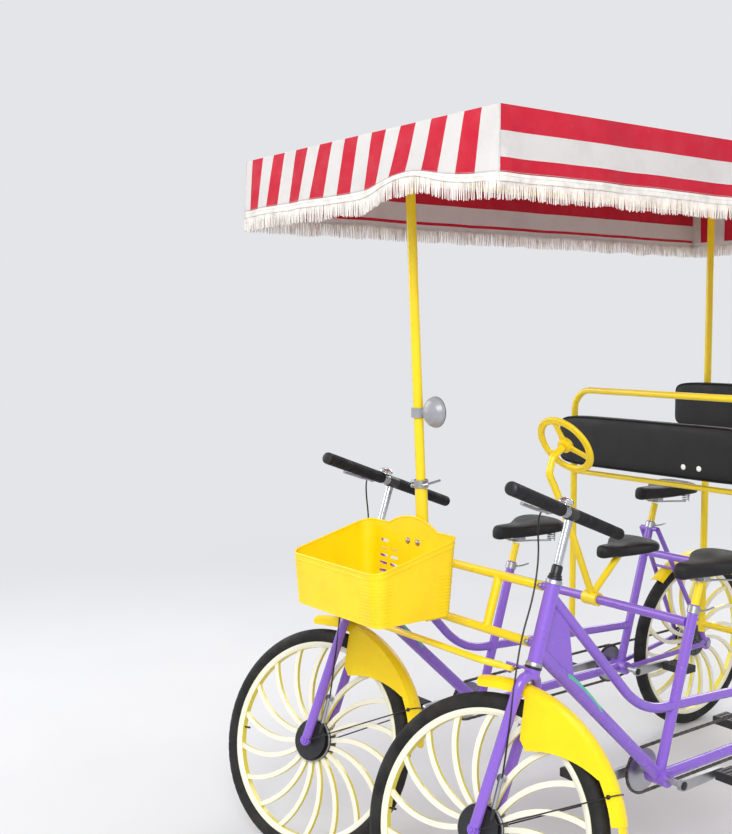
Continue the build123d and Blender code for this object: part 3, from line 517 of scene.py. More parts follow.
class Mesher:
    """Collects rings of points and faces, and turns them into one piece."""

    def __init__(self) -> None:
        """Start empty."""
        self.points: list[Vector] = []
        self.faces: list[tuple[int, ...]] = []
        self.flat: list[tuple[Pair, ...]] = []

    def rings(self, rings: Sequence[Sequence[Vector]], closed: bool = False) -> "Mesher":
        """Join rings of equal length into a skin.

        Args:
            rings: the rings in order, each a closed loop of points.
            closed: whether the last ring joins the first; if not, both ends are filled.

        Returns:
            The mesher itself.
        """
        base, count = len(self.points), len(rings[0])
        for ring in rings:
            self.points.extend(ring)
        for i in range(len(rings) if closed else len(rings) - 1):
            one = base + i * count
            two = base + (i + 1) % len(rings) * count
            for j in range(count):
                k = (j + 1) % count
                self.faces.append((one + j, one + k, two + k, two + j))
        if not closed:
            last = base + (len(rings) - 1) * count
            self.faces.append(tuple(base + j for j in reversed(range(count))))
            self.faces.append(tuple(last + j for j in range(count)))
        return self

    def pipe(self, path: Sequence[Vector], radius: float | Callable[[float], float],
             sides: int = 10, closed: bool = False) -> "Mesher":
        """A round bar along a path.

        Args:
            path: points in metres.
            radius: in metres, or a function of the share of the path.
            sides: points round the bar.
            closed: whether the path is a loop.

        Returns:
            The mesher itself.
        """
        rings, normal = [], None
        for i, point in enumerate(path):
            before = path[i - 1] if i or closed else path[0]
            after = path[(i + 1) % len(path)] if closed or i + 1 < len(path) else path[-1]
            run = (after - before).normalized()
            if normal is None:
                normal = run.orthogonal().normalized()
            normal = (normal - run * normal.dot(run)).normalized()
            other = run.cross(normal)
            size = radius(i / max(1, len(path) - 1)) if callable(radius) else radius
            rings.append([point + (normal * c + other * s) * size for c, s in circle(sides)])
        return self.rings(rings, closed)

    def lathe(self, profile: Sequence[Pair], matrix: Matrix, sides: int = 40,
              closed: bool = False) -> "Mesher":
        """Turn a profile round the matrix's z axis.

        Args:
            profile: radius and height pairs in millimetres.
            matrix: where the axis is.
            sides: points round the axis.
            closed: whether the profile is a loop, as on a ring.

        Returns:
            The mesher itself.
        """
        return self.rings([[matrix @ (Vector((radius * c, radius * s, height)) * MM)
                            for c, s in circle(sides)] for radius, height in profile], closed)

    def block(self, matrix: Matrix, size: Triple, corner: float) -> "Mesher":
        """A box with its upright edges rounded and its flat edges eased.

        Args:
            matrix: the box's centre and axes.
            size: lengths along x, y and z in millimetres.
            corner: radius of the upright edges in millimetres.

        Returns:
            The mesher itself.
        """
        half_x, half_y, half_z = (0.5 * s for s in size)
        radius = min(corner, half_x, half_y)
        outline = []
        for sign_x, sign_y, start in ((1, 1, 0), (-1, 1, 90), (-1, -1, 180), (1, -1, 270)):
            for step in range(5):
                a = radians(start + 90 * step / 4)
                outline.append((sign_x * (half_x - radius) + radius * cos(a),
                                sign_y * (half_y - radius) + radius * sin(a)))
        soft = min(0.8, half_z * 0.4)
        return self.rings([
            [matrix @ (Vector((x * (1 - inset / half_x), y * (1 - inset / half_y), height)) * MM)
             for x, y in outline]
            for height, inset in ((-half_z, soft), (-half_z + soft, 0), (half_z - soft, 0),
                                  (half_z, soft))])

    def hexagon(self, origin: Vector, axis: Vector, across: float, height: float) -> None:
        """A hexagonal bolt head on its washer.

        Args:
            origin: the foot's centre.
            axis: away from the surface.
            across: size across its corners in millimetres.
            height: in millimetres.
        """
        matrix = axis_matrix(origin, axis)
        self.lathe([(across * 0.62, 0), (across * 0.62, 1.0)], matrix, 18)
        self.lathe([(across / 2, 1.0), (across / 2, height - 0.6), (across / 2 - 0.9, height)],
                   matrix, 6)

    def piece(self, name: str, finish: Finish, body: str = "frame",
              replaces: Sequence[str] = (), sharp: float = 38.0) -> bpy.types.Object:
        """Make the piece, dress it and let it ride on its body.

        Args:
            name: the piece's name.
            finish: its material.
            body: the body that it moves with.
            replaces: CAD nodes that it stands for.
            sharp: edges above this many degrees stay sharp.

        Returns:
            The new object.
        """
        mesh = bpy.data.meshes.new(name)
        mesh.from_pydata([tuple(p) for p in self.points], [], self.faces)
        if self.flat:
            layer = mesh.uv_layers.new(name="flat")
            for loop, corner in zip(layer.data, (c for face in self.flat for c in face)):
                loop.uv = corner
        else:
            work = bmesh.new()
            work.from_mesh(mesh)
            bmesh.ops.recalc_face_normals(work, faces=work.faces)
            work.to_mesh(mesh)
            work.free()
        mesh.shade_smooth()
        mesh.set_sharp_from_angle(angle=radians(sharp))
        mesh.materials.append(finish.build())
        thing = put(name, mesh)
        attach(thing, body)
        if replaces:
            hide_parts(*replaces)
        LOG.info("%s: %d faces", name, len(mesh.polygons))
        return thing


@dataclass
class Studio:
    """Camera at the photograph's view, pale floor and soft lights."""

    eye: Triple = (2313.9, -1776.4, 1557.2)
    yaw: float = radians(53.35)
    pitch: float = radians(-4.67)
    roll: float = radians(-0.08)
    focal: float = 1115.9
    width: int = 732
    sensor: float = 36.0
    reach: float = 30.0
    sky: str = "#E4E5E8"
    aim: Triple = (0.0, 0.0, 0.9)
    lamps: tuple[tuple[str, Triple, float, float], ...] = (
        ("key", (4.0, -4.5, 4.6), 4.0, 330.0), ("fill", (-4.5, -3.0, 3.2), 4.0, 120.0),
        ("top", (0.0, 1.0, 6.0), 5.0, 160.0), ("back", (-2.5, 6.0, 3.5), 4.0, 110.0))

    def camera(self) -> None:
        """Place the camera as the photograph was taken."""
        data = bpy.data.cameras.new("camera")
        data.sensor_fit = "HORIZONTAL"
        data.sensor_width = self.sensor
        data.lens = self.sensor * self.focal / self.width
        data.clip_end = 200.0
        turned = (Matrix.Rotation(self.yaw, 4, "Z") @ Matrix.Rotation(pi / 2 + self.pitch, 4, "X")
                  @ Matrix.Rotation(self.roll, 4, "Z"))
        camera = put("camera", data)
        camera.matrix_world = Matrix.Translation(LAYOUT.at(*self.eye)) @ turned
        bpy.context.scene.camera = camera

    def floor(self) -> None:
        """A wide pale floor that keeps the shadow and fades to the sky's colour."""
        mesh = bpy.data.meshes.new("floor")
        mesh.from_pydata([(x * self.reach, y * self.reach, 0)
                          for x, y in ((-1, -1), (1, -1), (1, 1), (-1, 1))], [], [(0, 1, 2, 3)])
        material = bpy.data.materials.new("pale_floor")
        tree = bare(material)
        place = add(tree, "TexCoord").outputs["Object"]
        drift = add(tree, "TexNoise", {"Vector": place, "Scale": 2.0, "Detail": 4.0})
        tone = add(tree, "MixRGB", [drift, linear("#D9D9DA"), linear("#D2D2D4")])
        surface = add(tree, "BsdfPrincipled", {"Base Color": tone, "Roughness": 0.6})
        reach = add(tree, "VectorMath", [place], operation="LENGTH")
        far = add(tree, "MapRange", {"Value": reach.outputs["Value"], "From Min": 2.2,
                                     "From Max": 5.5}, interpolation_type="SMOOTHSTEP")
        path = add(tree, "LightPath")
        seen = add(tree, "Math", [far, path.outputs["Is Camera Ray"]], operation="MULTIPLY")
        backdrop = add(tree, "Emission", {"Color": linear(self.sky), "Strength": 1.0})
        both = add(tree, "MixShader", [seen, surface, backdrop])
        add(tree, "OutputMaterial", {"Surface": both})
        mesh.materials.append(material)
        floor = put("floor", mesh)

    def lights(self) -> None:
        """Soft light from above and in front, and a pale world."""
        for name, spot, size, power in self.lamps:
            data = bpy.data.lights.new(name, "AREA")
            data.shape = "DISK"
            data.size = size
            data.energy = power
            lamp = put(name, data)
            lamp.location = spot
            way = Vector(self.aim) - Vector(spot)
            lamp.rotation_euler = way.to_track_quat("-Z", "Y").to_euler()
        world = bpy.data.worlds.new("studio")
        tree = bare(world)
        path = add(tree, "LightPath")
        seen = add(tree, "Math", [path.outputs["Is Camera Ray"],
                                  path.outputs["Is Glossy Ray"]], operation="MAXIMUM")
        soft = add(tree, "Background", {"Color": linear("#F2F4F8"), "Strength": 0.55})
        pale = add(tree, "Background", {"Color": linear(self.sky), "Strength": 1.0})
        both = add(tree, "MixShader", [seen, soft, pale])
        add(tree, "OutputWorld", {"Surface": both})
        bpy.context.scene.world = world
        bpy.context.scene.view_settings.view_transform = "Standard"

    def build(self) -> None:
        """Camera, floor and lights."""
        self.camera()
        self.floor()
        self.lights()


class Dressing:
    """Finishes of the CAD nodes that stay as they are."""

    def finishes(self) -> dict[str, Finish]:
        """The finish of each node.

        Returns:
            Finishes by the node's name.
        """
        plain = ((YELLOW, "ladder pole_socket front_pole tie_rod canopy_frame hand_rail "
                          "seat_posts child_seat_frame"),
                 (VINYL, "backrest_front backrest_rear"), (STEEL, "rear_axles"),
                 (PURPLE, "seat_cross_tubes frame_left frame_right fork_left fork_right"),
                 (FENDER, "fenders_rear fender_front_left fender_front_right"),
                 (FOAM, "bar_foam_left bar_foam_right"), (BASKET, "basket"), (CHAIN, "chains"),
                 (CLOTH, "canopy"), (SADDLE, "saddles"), (TOY, "toy_wheel"), (SHELL, "mirror"))
        table = {name: finish for finish, names in plain for name in names.split()}
        for name, side in SIDES:
            axis = tuple(LAYOUT.head(side).col[2].xyz)
            # Chrome plate on the stem, with the bar black at its height
            table[f"handlebar_{name}"] = TwoTone(
                f"chromed_stem_{name}", "chrome", CHROME.colour, CHROME.shade,
                CHROME.roughness, metallic=1.0, mottle=0.4, axis=axis, reach=0.0185,
                centre=tuple(LAYOUT.place(side, 0, 0, LAYOUT.stem_height)))
            # Zinc plate on the arm, with the drum round the axle black
            table[f"brake_{name}"] = TwoTone(
                f"drum_brake_{name}", "steel", STEEL.colour, STEEL.shade, STEEL.roughness,
                metallic=1.0,
                axis=axis, reach=0.0605,
                centre=tuple(LAYOUT.place(side, 0, 0, -LAYOUT.axle_to_crown)))
            for end, crank_y in ROWS:
                spin = LAYOUT.wheel(end, side)
                hub = LAYOUT.at(side * LAYOUT.half_track, crank_y, LAYOUT.crank_z)
                table[f"tyre_{end}_{name}"] = RUBBER
                # Cast aluminium on the cranks, with the pedals black further out
                table[f"crank_{end}_{name}"] = TwoTone(
                    f"crank_and_pedals_{end}_{name}", "crank_alloy", ALLOY.colour, ALLOY.shade,
                    ALLOY.roughness, metallic=1.0, centre=tuple(hub), axis=(1.0, 0.0, 0.0),
                    reach=0.0875, outside=True, second_roughness=0.5)
                # Enamel on a cast wheel: a wet cream gloss, yellow on the spokes' flanks
                table[f"wheel_{end}_{name}"] = WheelPaint(
                    f"wheel_enamel_{end}_{name}", "wheel_cast", "#F4F1DE", "#E4DFBE", 0.3,
                    coat=0.4, centre=tuple(spin.translation), axle=tuple(spin.col[2].xyz))
        return table

    def build(self) -> None:
        """Dress each node in its finish."""
        table = self.finishes()
        for name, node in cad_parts.items():
            node.data.materials.clear()
            node.data.materials.append(table[name].build())


class EdgeSpot(NamedTuple):
    """A spot of the roof's edge: vehicle x and y, the way out and the distance run, in metres."""

    x: float
    y: float
    out: Vector
    run: float


@dataclass
class Canopy:
    """Sewn cloth over the roof frame, its flaps and its fringe. Sizes in metres."""

    half: float = ROOF_HALF
    front: float = -0.09
    back: float = 1.975
    bars: Pair = (0.085, 1.759)
    top: float = 2.0355
    thick: float = 0.0012
    depth: float = 0.161
    sag: float = 0.016
    across: int = 52
    along: int = 104
    rows: int = 10
    lift: float = 0.034
    lift_x: float = 0.26
    lift_half: float = 0.12
    forward: float = 0.026
    strand: float = 0.043
    braid: float = 0.018
    spacing: float = 0.0028
    long_wave: float = 0.31
    short_wave: float = 0.173
    wave_out: float = 0.0042
    corner_out: float = 0.006

    def roof_point(self, x: float, y: float) -> Vector:
        """A point of the roof, with the cloth sagging between its bars.

        Args:
            x: vehicle x in metres.
            y: vehicle y in metres.

        Returns:
            The point in the frame.
        """
        bars = (self.front, *self.bars, self.back)
        low, high = next((a, b) for a, b in zip(bars, bars[1:]) if y <= b + TINY)
        share = min(1, max(0, (y - low) / (high - low)))
        dip = self.sag * (1 - (x / self.half) ** 2) * sin(pi * share) ** 0.8
        dip *= min(1.0, (high - low) / 0.8)
        rim = min(self.half - abs(x), y - self.front, self.back - y)
        ripple = 0.0022 * noise.noise(Vector((x * 6, y * 4, 3.1))) * min(1.0, rim / 0.1)
        height = self.top - dip + ripple - 2 * self.thick
        return LAYOUT.at(x / MM, y / MM, height / MM)

    @cached_property
    def loop(self) -> list[EdgeSpot]:
        """The roof's edge in order, from the front right corner to the left.

        Returns:
            Its spots, each with the distance run before it.
        """
        wide, long = 2 * self.half, self.back - self.front
        spots: list[EdgeSpot] = []
        for x, y, step_x, step_y, count, out in (
                (-self.half, self.front, wide, 0, self.across, -BACK),
                (self.half, self.front, 0, long, self.along, ACROSS),
                (self.half, self.back, -wide, 0, self.across, BACK),
                (-self.half, self.back, 0, -long, self.along, -ACROSS)):
            for i in range(count):
                here = (x + step_x * i / count, y + step_y * i / count)
                run = spots[-1].run + dist(here, spots[-1][:2]) if spots else 0.0
                spots.append(EdgeSpot(*here, out, run))
        return spots

    def at_corner(self, spot: EdgeSpot) -> bool:
        """Whether a spot is one of the roof's four corners."""
        end = min(abs(spot.y - self.front), abs(spot.y - self.back))
        return abs(abs(spot.x) - self.half) < TINY and end < TINY

    def flap_point(self, spot: EdgeSpot, depth: float) -> Vector:
        """A point of a hanging flap, with its soft waves and the lift at the front pole.

        Args:
            spot: where it hangs from the edge.
            depth: distance down the flap.

        Returns:
            The point in the frame.
        """
        x, y, out, run = spot
        share = depth / self.depth
        wave = sin(run * 2 * pi / self.long_wave)
        wave += 0.6 * sin(run * 2 * pi / self.short_wave + 1.3)
        wave += 1.5 * noise.noise(Vector((run * 3.0, 0.4, 1.7)))
        flare = 0.004 * share ** 0.5 + self.wave_out * wave * share
        rise = 0.0
        if out.y < 0:
            near = exp(-((x - self.lift_x) / self.lift_half) ** 2)
            rise = self.lift * near * share ** 2
            flare += (self.forward * min(1.0, (self.half - abs(x)) / 0.12) + 0.01 * near) * share
        drop = 0.003 * noise.noise(Vector((run * 2.0, 5.5, 0.0))) * share
        height = self.top - 2 * self.thick - depth + rise + drop
        base = LAYOUT.at(x / MM, y / MM, height / MM)
        if self.at_corner(spot):
            corner = Vector((copysign(1, x), -1 if y < 0.5 else 1, 0))
            return base + corner * self.corner_out * share
        return base + out * flare

    def cloth(self) -> bpy.types.Object:
        """The whole cloth as one sheet, with its flat map.

        Returns:
            The cloth.
        """
        mesher, loop = Mesher(), self.loop
        wide, long = self.across, self.along
        columns = [-self.half + 2 * self.half * i / wide for i in range(wide + 1)]
        for j in range(long + 1):
            y = self.front + (self.back - self.front) * j / long
            mesher.points += [self.roof_point(x, y) for x in columns]
        for j in range(long):
            for i, (x, after) in enumerate(zip(columns, columns[1:])):
                base = j * (wide + 1) + i
                mesher.faces.append((base, base + 1, base + wide + 2, base + wide + 1))
                mesher.flat.append(((x, 0.0), (after, 0.0), (after, 0.0), (x, 0.0)))
        ring = [*range(wide), *(j * (wide + 1) + wide for j in range(long)),
                *(long * (wide + 1) + wide - i for i in range(wide)),
                *((long - j) * (wide + 1) for j in range(long))]
        last = 0.0
        for row in range(1, self.rows + 1):
            depth = self.depth * (row / self.rows) ** 1.15
            base = len(mesher.points)
            mesher.points += [self.flap_point(spot, depth) for spot in loop]
            for k, spot in enumerate(loop):
                n = (k + 1) % len(loop)
                mesher.faces.append((ring[n], ring[k], base + k, base + n))
                here, there = (spot.x, last), (loop[n].x, last)
                below, beyond = (spot.x, depth), (loop[n].x, depth)
                if spot.out.x:
                    here = there = (spot.out.x * (self.half + last), last)
                    below = beyond = (spot.out.x * (self.half + depth), depth)
                mesher.flat.append((there, here, below, beyond))
            ring = [base + k for k in range(len(loop))]
            last = depth
        cloth = mesher.piece("canopy_cloth", CLOTH, "frame", ["canopy"], sharp=70)
        skin = cloth.modifiers.new("cloth_thickness", "SOLIDIFY")
        skin.thickness = self.thick
        skin.offset = -1.0
        return cloth

    def strands(self, mesher: Mesher) -> None:
        """Hundreds of hanging threads in loose clumps.

        Args:
            mesher: where they are drawn.
        """
        rng = random.Random(7)
        closing = self.loop[0]._replace(run=self.loop[-1].run + 0.02)
        for spot, after in zip(self.loop, [*self.loop[1:], closing]):
            start, end = (self.flap_point(s, self.depth) for s in (spot, after))
            count = max(1, round((end - start).length / self.spacing))
            tangent = (end - start).normalized()
            outward = tangent.cross(UP)
            for n in range(count):
                share = (n + rng.random() * 0.6) / count
                foot = start.lerp(end, share)
                run = spot.run + share * (after.run - spot.run)
                clump = noise.noise(Vector((run * 42, 2.0, 0)))
                lean = tangent * clump * 0.006 + tangent * rng.uniform(-0.002, 0.002)
                lean += outward * (rng.uniform(-0.003, 0.003) + 0.002 * clump)
                size = self.strand * (1 + 0.16 * noise.noise(Vector((run * 11, 7.0, 0)))
                                      + rng.uniform(-0.08, 0.05))
                path = [foot + UP * 0.003]
                path += [foot + lean * bend - UP * size * fall
                         for bend, fall in ((0.2, 0.3), (0.7, 0.7), (1.0, 1.0))]
                thick = rng.uniform(0.0014, 0.0022)
                mesher.pipe(path, lambda s, t=thick: t * (1 - 0.45 * s), sides=3)

    def fringe(self) -> bpy.types.Object:
        """The threads under their heading braid.

        Returns:
            The fringe.
        """
        mesher = Mesher()
        self.strands(mesher)
        section = ((0.0, 0.0008), (0.0, 0.0022), (0.3, 0.0027), (0.7, 0.0027), (1.0, 0.0022),
                   (1.0, 0.0006), (0.7, 0.0006), (0.3, 0.0006))
        rings = []
        for spot in self.loop:
            low = self.braid + 0.0016 * noise.noise(Vector((spot.run * 60, 4.0, 1.0)))
            rings.append([self.flap_point(spot, HEM + 0.001 + low * down) + spot.out * proud
                          for down, proud in section])
        return mesher.rings(rings, closed=True).piece("canopy_fringe", THREAD, sharp=80)

    def seams(self) -> bpy.types.Object:
        """Grey stitching above the hem and doubled cloth down the four corners.

        Returns:
            The seams.
        """
        mesher = Mesher()
        for depth, proud in ((HEM - 0.0025, 0.0007), (HEM + 0.008, 0.0027)):
            path = [self.flap_point(spot, depth) + spot.out * proud for spot in self.loop]
            mesher.pipe(path, 0.0005, sides=4, closed=True)
        for spot in filter(self.at_corner, self.loop):
            path = [self.flap_point(spot, self.depth * row / 8) for row in range(9)]
            mesher.pipe(path, 0.0017, sides=6)
        return mesher.piece("canopy_seams", STITCH, sharp=80)

    def build(self) -> None:
        """Cloth with its seams and fringe."""
        cloth = self.cloth()
        fringe = self.fringe()
        seams = self.seams()


@dataclass
class Wheel:
    """The treaded tyre, hub rings and valve of one wheel. Sizes in millimetres."""

    end: str
    name: str
    side: int
    seat: float = 289.5
    segments: int = 300
    points: int = 30
    groove: float = 2.2
    groove_edges: Pair = (7.0, 13.0)
    shoulder_edges: Pair = (46.0, 52.0)
    sipe_gap: int = 5
    drum_radius: float = 60.0
    drum_half: float = 21.0
    valve_radius: float = 258.0
    valve_turn: float = radians(189.0)

    def cut(self, segment: int, angle: float) -> float:
        """How deep the tread is cut at one spot: two grooves, slanted sipes and a shoulder line.

        Args:
            segment: count round the wheel.
            angle: degrees from the crown.

        Returns:
            The cut in millimetres.
        """
        spread = abs(angle)
        if self.groove_edges[0] < spread < self.groove_edges[1]:
            return self.groove
        if self.groove_edges[1] <= spread < self.shoulder_edges[0]:
            shifted = segment + (2 if angle > 0 else 0) + round(spread / 14)
            return self.groove if shifted % self.sipe_gap == 0 else 0.0
        low, high = self.shoulder_edges
        return self.groove * 0.5 if low <= spread < high else 0.0

    def build(self) -> None:
        """Tread, ribbed drum faces, a bright ring on each and a valve."""
        wheel = LAYOUT.wheel(self.end, self.side)
        label, body = f"{self.end}_{self.name}", f"{self.end}_wheel_{self.name}"
        tube = LAYOUT.tyre_radius
        middle = LAYOUT.wheel_radius - tube
        limit = degrees(acos((self.seat - middle) / tube))
        angles = [-limit + 2 * limit * p / (self.points - 1) for p in range(self.points)]
        rings = []
        for s, (c_turn, s_turn) in enumerate(circle(self.segments)):
            ring = []
            for angle in angles:
                radius = tube - self.cut(s, angle)
                out = middle + radius * cos(radians(angle))
                ring.append(wheel @ (Vector((out * c_turn, out * s_turn,
                                             radius * sin(radians(angle)))) * MM))
            rings.append(ring)
        Mesher().rings(rings, closed=True).piece(f"treaded_tyre_{label}", RUBBER, body,
                                                 [f"tyre_{label}"], sharp=50)
        bands, ribs, valve = Mesher(), Mesher(), Mesher()
        low, high = self.drum_radius - 0.5, self.drum_radius + 2.2
        for hand in (-1, 1):
            bands.lathe([(low, -1.6), (high, -1.6), (high, 1.6), (low, 1.6)],
                        wheel @ shift(0, 0, hand * (self.drum_half - 3.5)), 72, closed=True)
            for turn in range(12):
                spin = wheel @ Matrix.Rotation(radians(30 * turn), 4, "Z")
                ribs.block(spin @ shift(42, 0, hand * (self.drum_half + 0.6)), (22, 3.0, 1.6), 1.2)
            ribs.lathe([(25, -1.2), (29, -1.2), (29, 1.2), (25, 1.2)],
                       wheel @ shift(0, 0, hand * (self.drum_half + 0.3)), 48, closed=True)
        spin = wheel @ Matrix.Rotation(self.valve_turn, 4, "Z")
        stem = spin @ shift(self.valve_radius, 0, 0) @ Matrix.Rotation(pi / 2, 4, "Y")
        valve.lathe([(2.4, -4), (3.2, -3), (3.2, 5), (2.6, 6), (2.6, 17)], stem, 14)
        bands.piece(f"hub_ring_{label}", STEEL, body)
        ribs.piece(f"drum_ribs_{label}", BLACK, body)
        valve.piece(f"valve_{label}", BLACK, body)


@dataclass
class Saddle:
    """One sprung saddle: a moulded pad on coil springs and rails. Sizes in millimetres."""

    label: str
    x: float
    y: float
    top: float
    length: float = 255.0
    width: float = 205.0
    height: float = 75.0
    pad: float = 47.0
    sprung: bool = True
    setback: float = 25.0
    dish: float = 9.0
    nose_drop: float = 13.0
    coil_x: float = 62.0
    coil_radius: float = 13.0
    coil_turns: float = 4.5
    coil_steps: int = 89
    shape: tuple[Pair, ...] = (
        (0.0, 0.0), (0.012, 0.13), (0.05, 0.225), (0.14, 0.285), (0.3, 0.35), (0.45, 0.5),
        (0.6, 0.76), (0.72, 0.94), (0.83, 1.0), (0.92, 0.93), (0.97, 0.72), (0.992, 0.4),
        (1.0, 0.0))
    stations: tuple[float, ...] = (
        0.004, 0.012, 0.03, 0.06, 0.1, 0.15, 0.22, 0.3, 0.38, 0.46, 0.54, 0.62, 0.7, 0.77, 0.83,
        0.88, 0.925, 0.955, 0.978, 0.99, 0.997)

    def spot(self, hand: int, x: float, y: float, z: float) -> Vector:
        """A point by its reach to one hand and to the back of the saddle's middle."""
        return LAYOUT.at(self.x + hand * x, self.y + y, z)

    def half_width(self, share: float) -> float:
        """Half the pad's width at a share of its length from the nose.

        Args:
            share: 0 at the nose, 1 at the tail.

        Returns:
            Half the width in millimetres.
        """
        (a, low), (b, high) = next(pair for pair in zip(self.shape, self.shape[1:])
                                   if share <= pair[1][0])
        t = (share - a) / (b - a)
        return (low + (high - low) * (3 * t * t - 2 * t ** 3)) * self.width / 2

    def cover(self) -> None:
        """The pad, crowned at the tail and dipped at its middle, with a dropped skirt."""
        rings = []
        for share in self.stations:
            half = max(1.2, self.half_width(share))
            y = self.y + (share - 0.5) * self.length
            crown = self.top - self.dish * sin(pi * min(1, share * 1.15)) ** 2
            crown -= self.nose_drop * (1 - share) ** 3
            end = min(1.0, min(share, 1 - share) / 0.055) ** 0.5
            middle = crown - 0.52 * self.pad
            ring = []
            for c, lift in circle(28):
                x = half * squared(c, 0.8)
                if lift > 0:
                    z = middle + 0.52 * self.pad * end * lift ** 0.62
                    z -= 3.0 * exp(-(x / 9.0) ** 2) * (0.35 < share < 0.9)
                else:
                    z = middle - 0.48 * self.pad * (0.4 + 0.6 * end) * abs(lift) ** 0.45
                ring.append(LAYOUT.at(self.x + x, y, z))
            rings.append(ring)
        pad = Mesher().rings(rings).piece(f"saddle_pad_{self.label}", SADDLE, "frame",
                                          ["saddles"], sharp=80)
        smooth = pad.modifiers.new("cover", "SUBSURF")
        smooth.levels = smooth.render_levels = 1

    def under(self) -> None:
        """Springs, rails and the clamp under the pad."""
        mesher = Mesher()
        low = self.top - self.height + 2.6
        high = self.top - self.pad - 3.0
        tail = self.length * 0.3
        for hand in (-1, 1) if self.sprung else ():
            coil = []
            for step in range(self.coil_steps + 1):
                share = step / self.coil_steps
                a = 2 * pi * self.coil_turns * share
                coil.append(self.spot(hand, self.coil_x, tail, low + 2 + (high + 8 - low) * share)
                            + Vector((cos(a), sin(a), 0)) * self.coil_radius * MM)
            mesher.pipe(coil, 1.7 * MM, sides=6)
            for rail in (((11, -12, low), (24, 20, low), (self.coil_x, tail, low)),
                         ((11, -12, low), (10, -50, low + 4), (4, -self.length * 0.42, high + 8))):
                mesher.pipe([self.spot(hand, *point) for point in rail], 3.0 * MM, sides=8)
        clamp = Matrix.Translation(self.spot(1, 0, -14, 0.5 * (low + high)))
        mesher.block(clamp, (38, 30, high - low + 2), 5)
        mesher.piece(f"saddle_springs_{self.label}", STEEL, sharp=40)

    def build(self) -> None:
        """Pad and springs."""
        self.cover()
        self.under()


@dataclass
class Backrest:
    """A long padded rest with piped edges. Sizes in millimetres."""

    label: str
    back_y: float
    middle_z: float
    buttons: tuple[float, ...] = ()
    half: float = 395.0
    height: float = 170.0
    thick: float = 45.0
    layers: int = 26
    squareness: float = 0.24
    edge_pull: float = 60.0
    button_drop: float = 47.0

    def build(self) -> None:
        """The pad, its piping and its buttons."""
        middle_y = self.back_y - self.thick / 2
        rings = []
        for k in range(1, self.layers):
            a = -pi / 2 + pi * k / self.layers
            scale = abs(cos(a)) ** 0.42
            y = middle_y + self.thick / 2 * squared(sin(a), 0.8)
            ring = []
            for j, (c, s) in enumerate(circle(120)):
                puff = 1.0 - 0.012 * sin(3 * (2 * pi * j / 120)) * (1 - scale)
                reach = self.half - (1 - scale) * self.edge_pull
                tall = self.height / 2 * (1 - (1 - scale) * 0.9)
                ring.append(LAYOUT.at(squared(c, self.squareness) * reach * puff, y,
                                      self.middle_z + squared(s, self.squareness) * tall))
            rings.append(ring)
        pad = Mesher().rings(rings).piece(f"padded_{self.label}", VINYL, "frame", [self.label],
                                          sharp=80)
        piping, studs = Mesher(), Mesher()
        for way in (-1, 1):
            path = [LAYOUT.at(squared(c, self.squareness) * (self.half - 4.5),
                              middle_y + way * self.thick * 0.3,
                              self.middle_z
                              + squared(s, self.squareness) * (self.height / 2 - 2.2))
                    for c, s in circle(160)]
            piping.pipe(path, 2.3 * MM, sides=8, closed=True)
        piping.piece(f"piping_{self.label}", VINYL, sharp=80)
        for x in self.buttons:
            spot = LAYOUT.at(x, self.back_y - self.thick + 1.8, self.middle_z - self.button_drop)
            studs.lathe([(9.0, -2), (9.0, 1.2), (7.2, 3.0), (3.2, 3.6)],
                        axis_matrix(spot, -BACK), 28)
        if self.buttons:
            studs.piece(f"buttons_{self.label}", WHITE)


@dataclass
class ToyWheel:
    """The child's steering wheel: a grooved flat ring on three broad spokes, in millimetres."""

    hub_y: float = 690.0
    hub_z: float = 1200.0
    tilt: float = radians(32.0)
    inner: float = 78.0
    outer: float = 101.0
    thick: float = 14.0
    hub: float = 22.0
    bore: float = 6.4
    root: float = 14.0
    spokes: tuple[float, ...] = (92.0, 212.0, 332.0)

    def ring(self) -> list[Pair]:
        """The ring's section, rounded and with a shallow groove on each face.

        Returns:
            Radius and height pairs.
        """
        middle, half = (self.inner + self.outer) / 2, (self.outer - self.inner) / 2
        section = []
        for c, s in circle(28):
            across = squared(c, 0.8)
            up = squared(s, 0.75) * (1 - 0.3 * exp(-((across - 0.1) / 0.28) ** 2))
            section.append((middle + half * across, self.thick / 2 * up))
        return section

    def spoke(self, mesher: Mesher, matrix: Matrix) -> None:
        """A broad flat spoke that widens into the ring.

        Args:
            mesher: where it is drawn.
            matrix: the hub's place, turned so that x runs along the spoke.
        """
        rings = []
        for step in range(11):
            share = step / 10
            along = self.root + (self.inner - self.root + 6) * share
            half = 8.6 + 4.0 * (1 - share) ** 3 + 4.6 * share ** 4
            ring = []
            for c, s in circle(20):
                across = squared(c, 0.7)
                up = (4.9 - 0.9 * share) * squared(s, 0.6) * (1 - 0.22 * exp(-(across / 0.4) ** 2))
                ring.append(matrix @ (Vector((along, half * across, up)) * MM))
            rings.append(ring)
        mesher.rings(rings)

    def build(self) -> None:
        """Ring, spokes and bored hub."""
        up = Vector((0, -sin(self.tilt), cos(self.tilt)))
        back = Vector((0, cos(self.tilt), sin(self.tilt)))
        matrix = Matrix.Translation(LAYOUT.at(0, self.hub_y, self.hub_z)) @ axes(ACROSS, up, -back)
        mesher = Mesher().lathe(self.ring(), matrix, 72, closed=True)
        rim = ((self.hub - 3, 12), (self.hub - 0.6, 11), (self.hub, 9))
        mesher.lathe([(self.bore, -12), *((r, -h) for r, h in rim), *reversed(rim),
                      (self.bore, 12)], matrix, 40, closed=True)
        for angle in self.spokes:
            self.spoke(mesher, matrix @ Matrix.Rotation(radians(angle), 4, "Z"))
        mesher.piece("toy_wheel_moulding", TOY, "toy_wheel", ["toy_wheel"])


